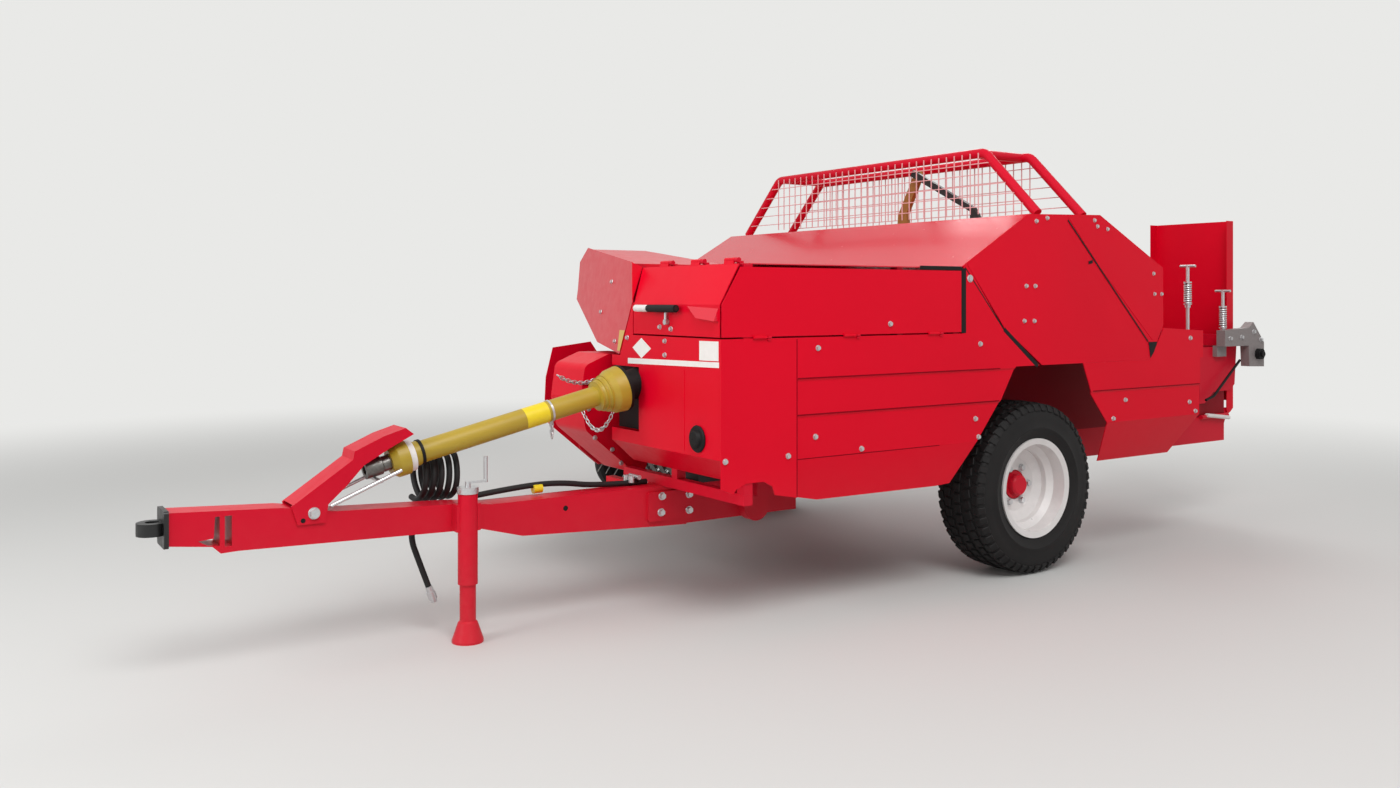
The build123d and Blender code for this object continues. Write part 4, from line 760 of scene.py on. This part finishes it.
marker = [(0.352, 1.088), (0.429, 1.088), (0.389, 1.004), (0.352, 1.004)]
film("edge_marker_strip", [on_facet(y, z) for y, z in marker], facet_out, yellow_vinyl, "chassis")
heads("facet_screws", "chassis", [on_facet(0.137, 1.288), on_facet(0.008, 1.158), on_facet(0.300, 1.040)],
      facet_out, 0.015)

# Drive shaft trim: rubber and plastic rings on the guard tube, a bright film band, a
# wire clamp, the black lip of the cone, and a black sheet of painted shade behind the opening.
shaft_low = Vector((axle_x + 2.810, drawbar_y, 0.625))
shaft_high = Vector((axle_x + 1.690, drawbar_y, 0.886))
shaft_way = (shaft_high - shaft_low).to_track_quat("Y", "Z").to_matrix().to_4x4()
shaft_turn = Matrix.Translation(shaft_low) @ shaft_way


def guard_ring(name, start, end, inner, outer, finish):
    """A plain ring round the guard's axis, at distances from the shaft's low end."""
    bm = bmesh.new()
    spun(bm, [(start, inner), (start, outer), (end, outer), (end, inner)], 48, shaft_turn)
    return add_piece(name, bm, finish, "chassis")


yellow_film = vinyl("bright_yellow_film", "#e8d01c", "#dcc418")
tube_skin = 0.0399
guard_ring("guard_white_ring", 0.154, 0.174, 0.0500, 0.0560, white_plastic_and_highlight)
guard_ring("guard_black_ring", 0.198, 0.209, 0.0395, 0.0470, black_plastic)
guard_ring("guard_film_band", 0.616, 0.712, tube_skin, 0.0404, yellow_film)
guard_ring("guard_clamp", 0.722, 0.730, tube_skin, 0.0430, zinc)
rib_width = 0.007
for k, (start, radius) in enumerate(((0.934, 0.0575), (0.952, 0.0640), (0.970, 0.0715))):
    guard_ring(f"cone_rib_{k}", start, start + rib_width, radius - 0.012, radius + 0.002, guard_plastic)
guard_ring("cone_lip", 1.042, 1.054, 0.0800, 0.0930, black_plastic)
gaiter_start = 1.040
gaiter = [(0.0, 0.030), (0.0, 0.034), (0.030, 0.058), (0.100, 0.064), (0.102, 0.060), (0.034, 0.054)]
bm = bmesh.new()
spun(bm, gaiter, 40, shaft_turn @ Matrix.Translation((0, gaiter_start, 0)))
add_piece("shaft_gaiter", bm, black_rubber_and_shade, "chassis")
opening_x = 1.0405
opening = [(0.329, 0.693), (0.538, 0.693), (0.538, 0.944), (0.329, 0.944)]
film("opening_shade_sheet", [(opening_x, y, z) for y, z in opening], (1, 0, 0), black_rubber_and_shade, "chassis",
     0.002)

# Drawbar fittings: pivot bolts of the shaft rest, black discs of painted shade in the
# mouths of two through holes, and the zinc hose clamp and yellow tag on the hose.
rest_reach = 0.0635
for name, sign in (("rest_bolt", 1), ("rest_bolt_far", -1)):
    heads(name, "chassis", [(2.342, drawbar_y + sign * rest_reach, 0.505)], (0, sign, 0), 0.030, 0.012)
rods("drawbar_hole_shade", [((1.406, 0.5551, 0.425), (1.406, 0.5556, 0.425), 0.010),
                       ((2.378, 0.5632, 0.484), (2.378, 0.5637, 0.484), 0.008)], black_rubber_and_shade, "chassis")
clamp_x = 1.085
rods("hose_clamp", [((clamp_x, 0.462, 0.486), (clamp_x, 0.462, 0.512), 0.012),
                    ((clamp_x, 0.498, 0.486), (clamp_x, 0.498, 0.512), 0.012),
                    ((1.060, 0.446, 0.506), (1.060, 0.520, 0.506), 0.009)], zinc, "chassis")
rods("hose_tag", [((1.468, 0.4755, 0.4965), (1.504, 0.4755, 0.4955), 0.0175)], yellow_film, "chassis")

# Rear left corner: a bent black pull rod, the white end of the needle pin, and the black
# plastic knob and zinc-plated bolts of the twine arm housing.
pull_y = 0.790
pull_radius = 0.007
pull_points = [(axle_x - 2.039, pull_y, 0.871), (axle_x - 1.787, pull_y, 0.682),
               (axle_x - 1.712, pull_y, 0.663)]
rods("pull_rod", [(a, b, pull_radius) for a, b in zip(pull_points, pull_points[1:])], black_plastic,
     "chassis")
rods("needle_pin", [((axle_x - 1.761, 0.764, 0.576), (axle_x - 1.972, 0.764, 0.552), 0.011)],
     white_plastic_and_highlight, "chassis")
knob_x = axle_x - 2.150
knob_z = 0.905
rods("housing_knob", [((knob_x, 0.830, knob_z), (knob_x, 0.856, knob_z), 0.030),
                      ((knob_x, 0.830, knob_z), (knob_x, 0.866, knob_z), 0.016)], black_plastic, "chassis")
housing_y = 0.8292
housing_spots = [(1.880, 0.996), (1.990, 1.002), (2.110, 1.030), (2.180, 0.985)]
heads("housing_bolts", "chassis", [(axle_x - x, housing_y, z) for x, z in housing_spots], (0, 1, 0), 0.020,
      0.009)
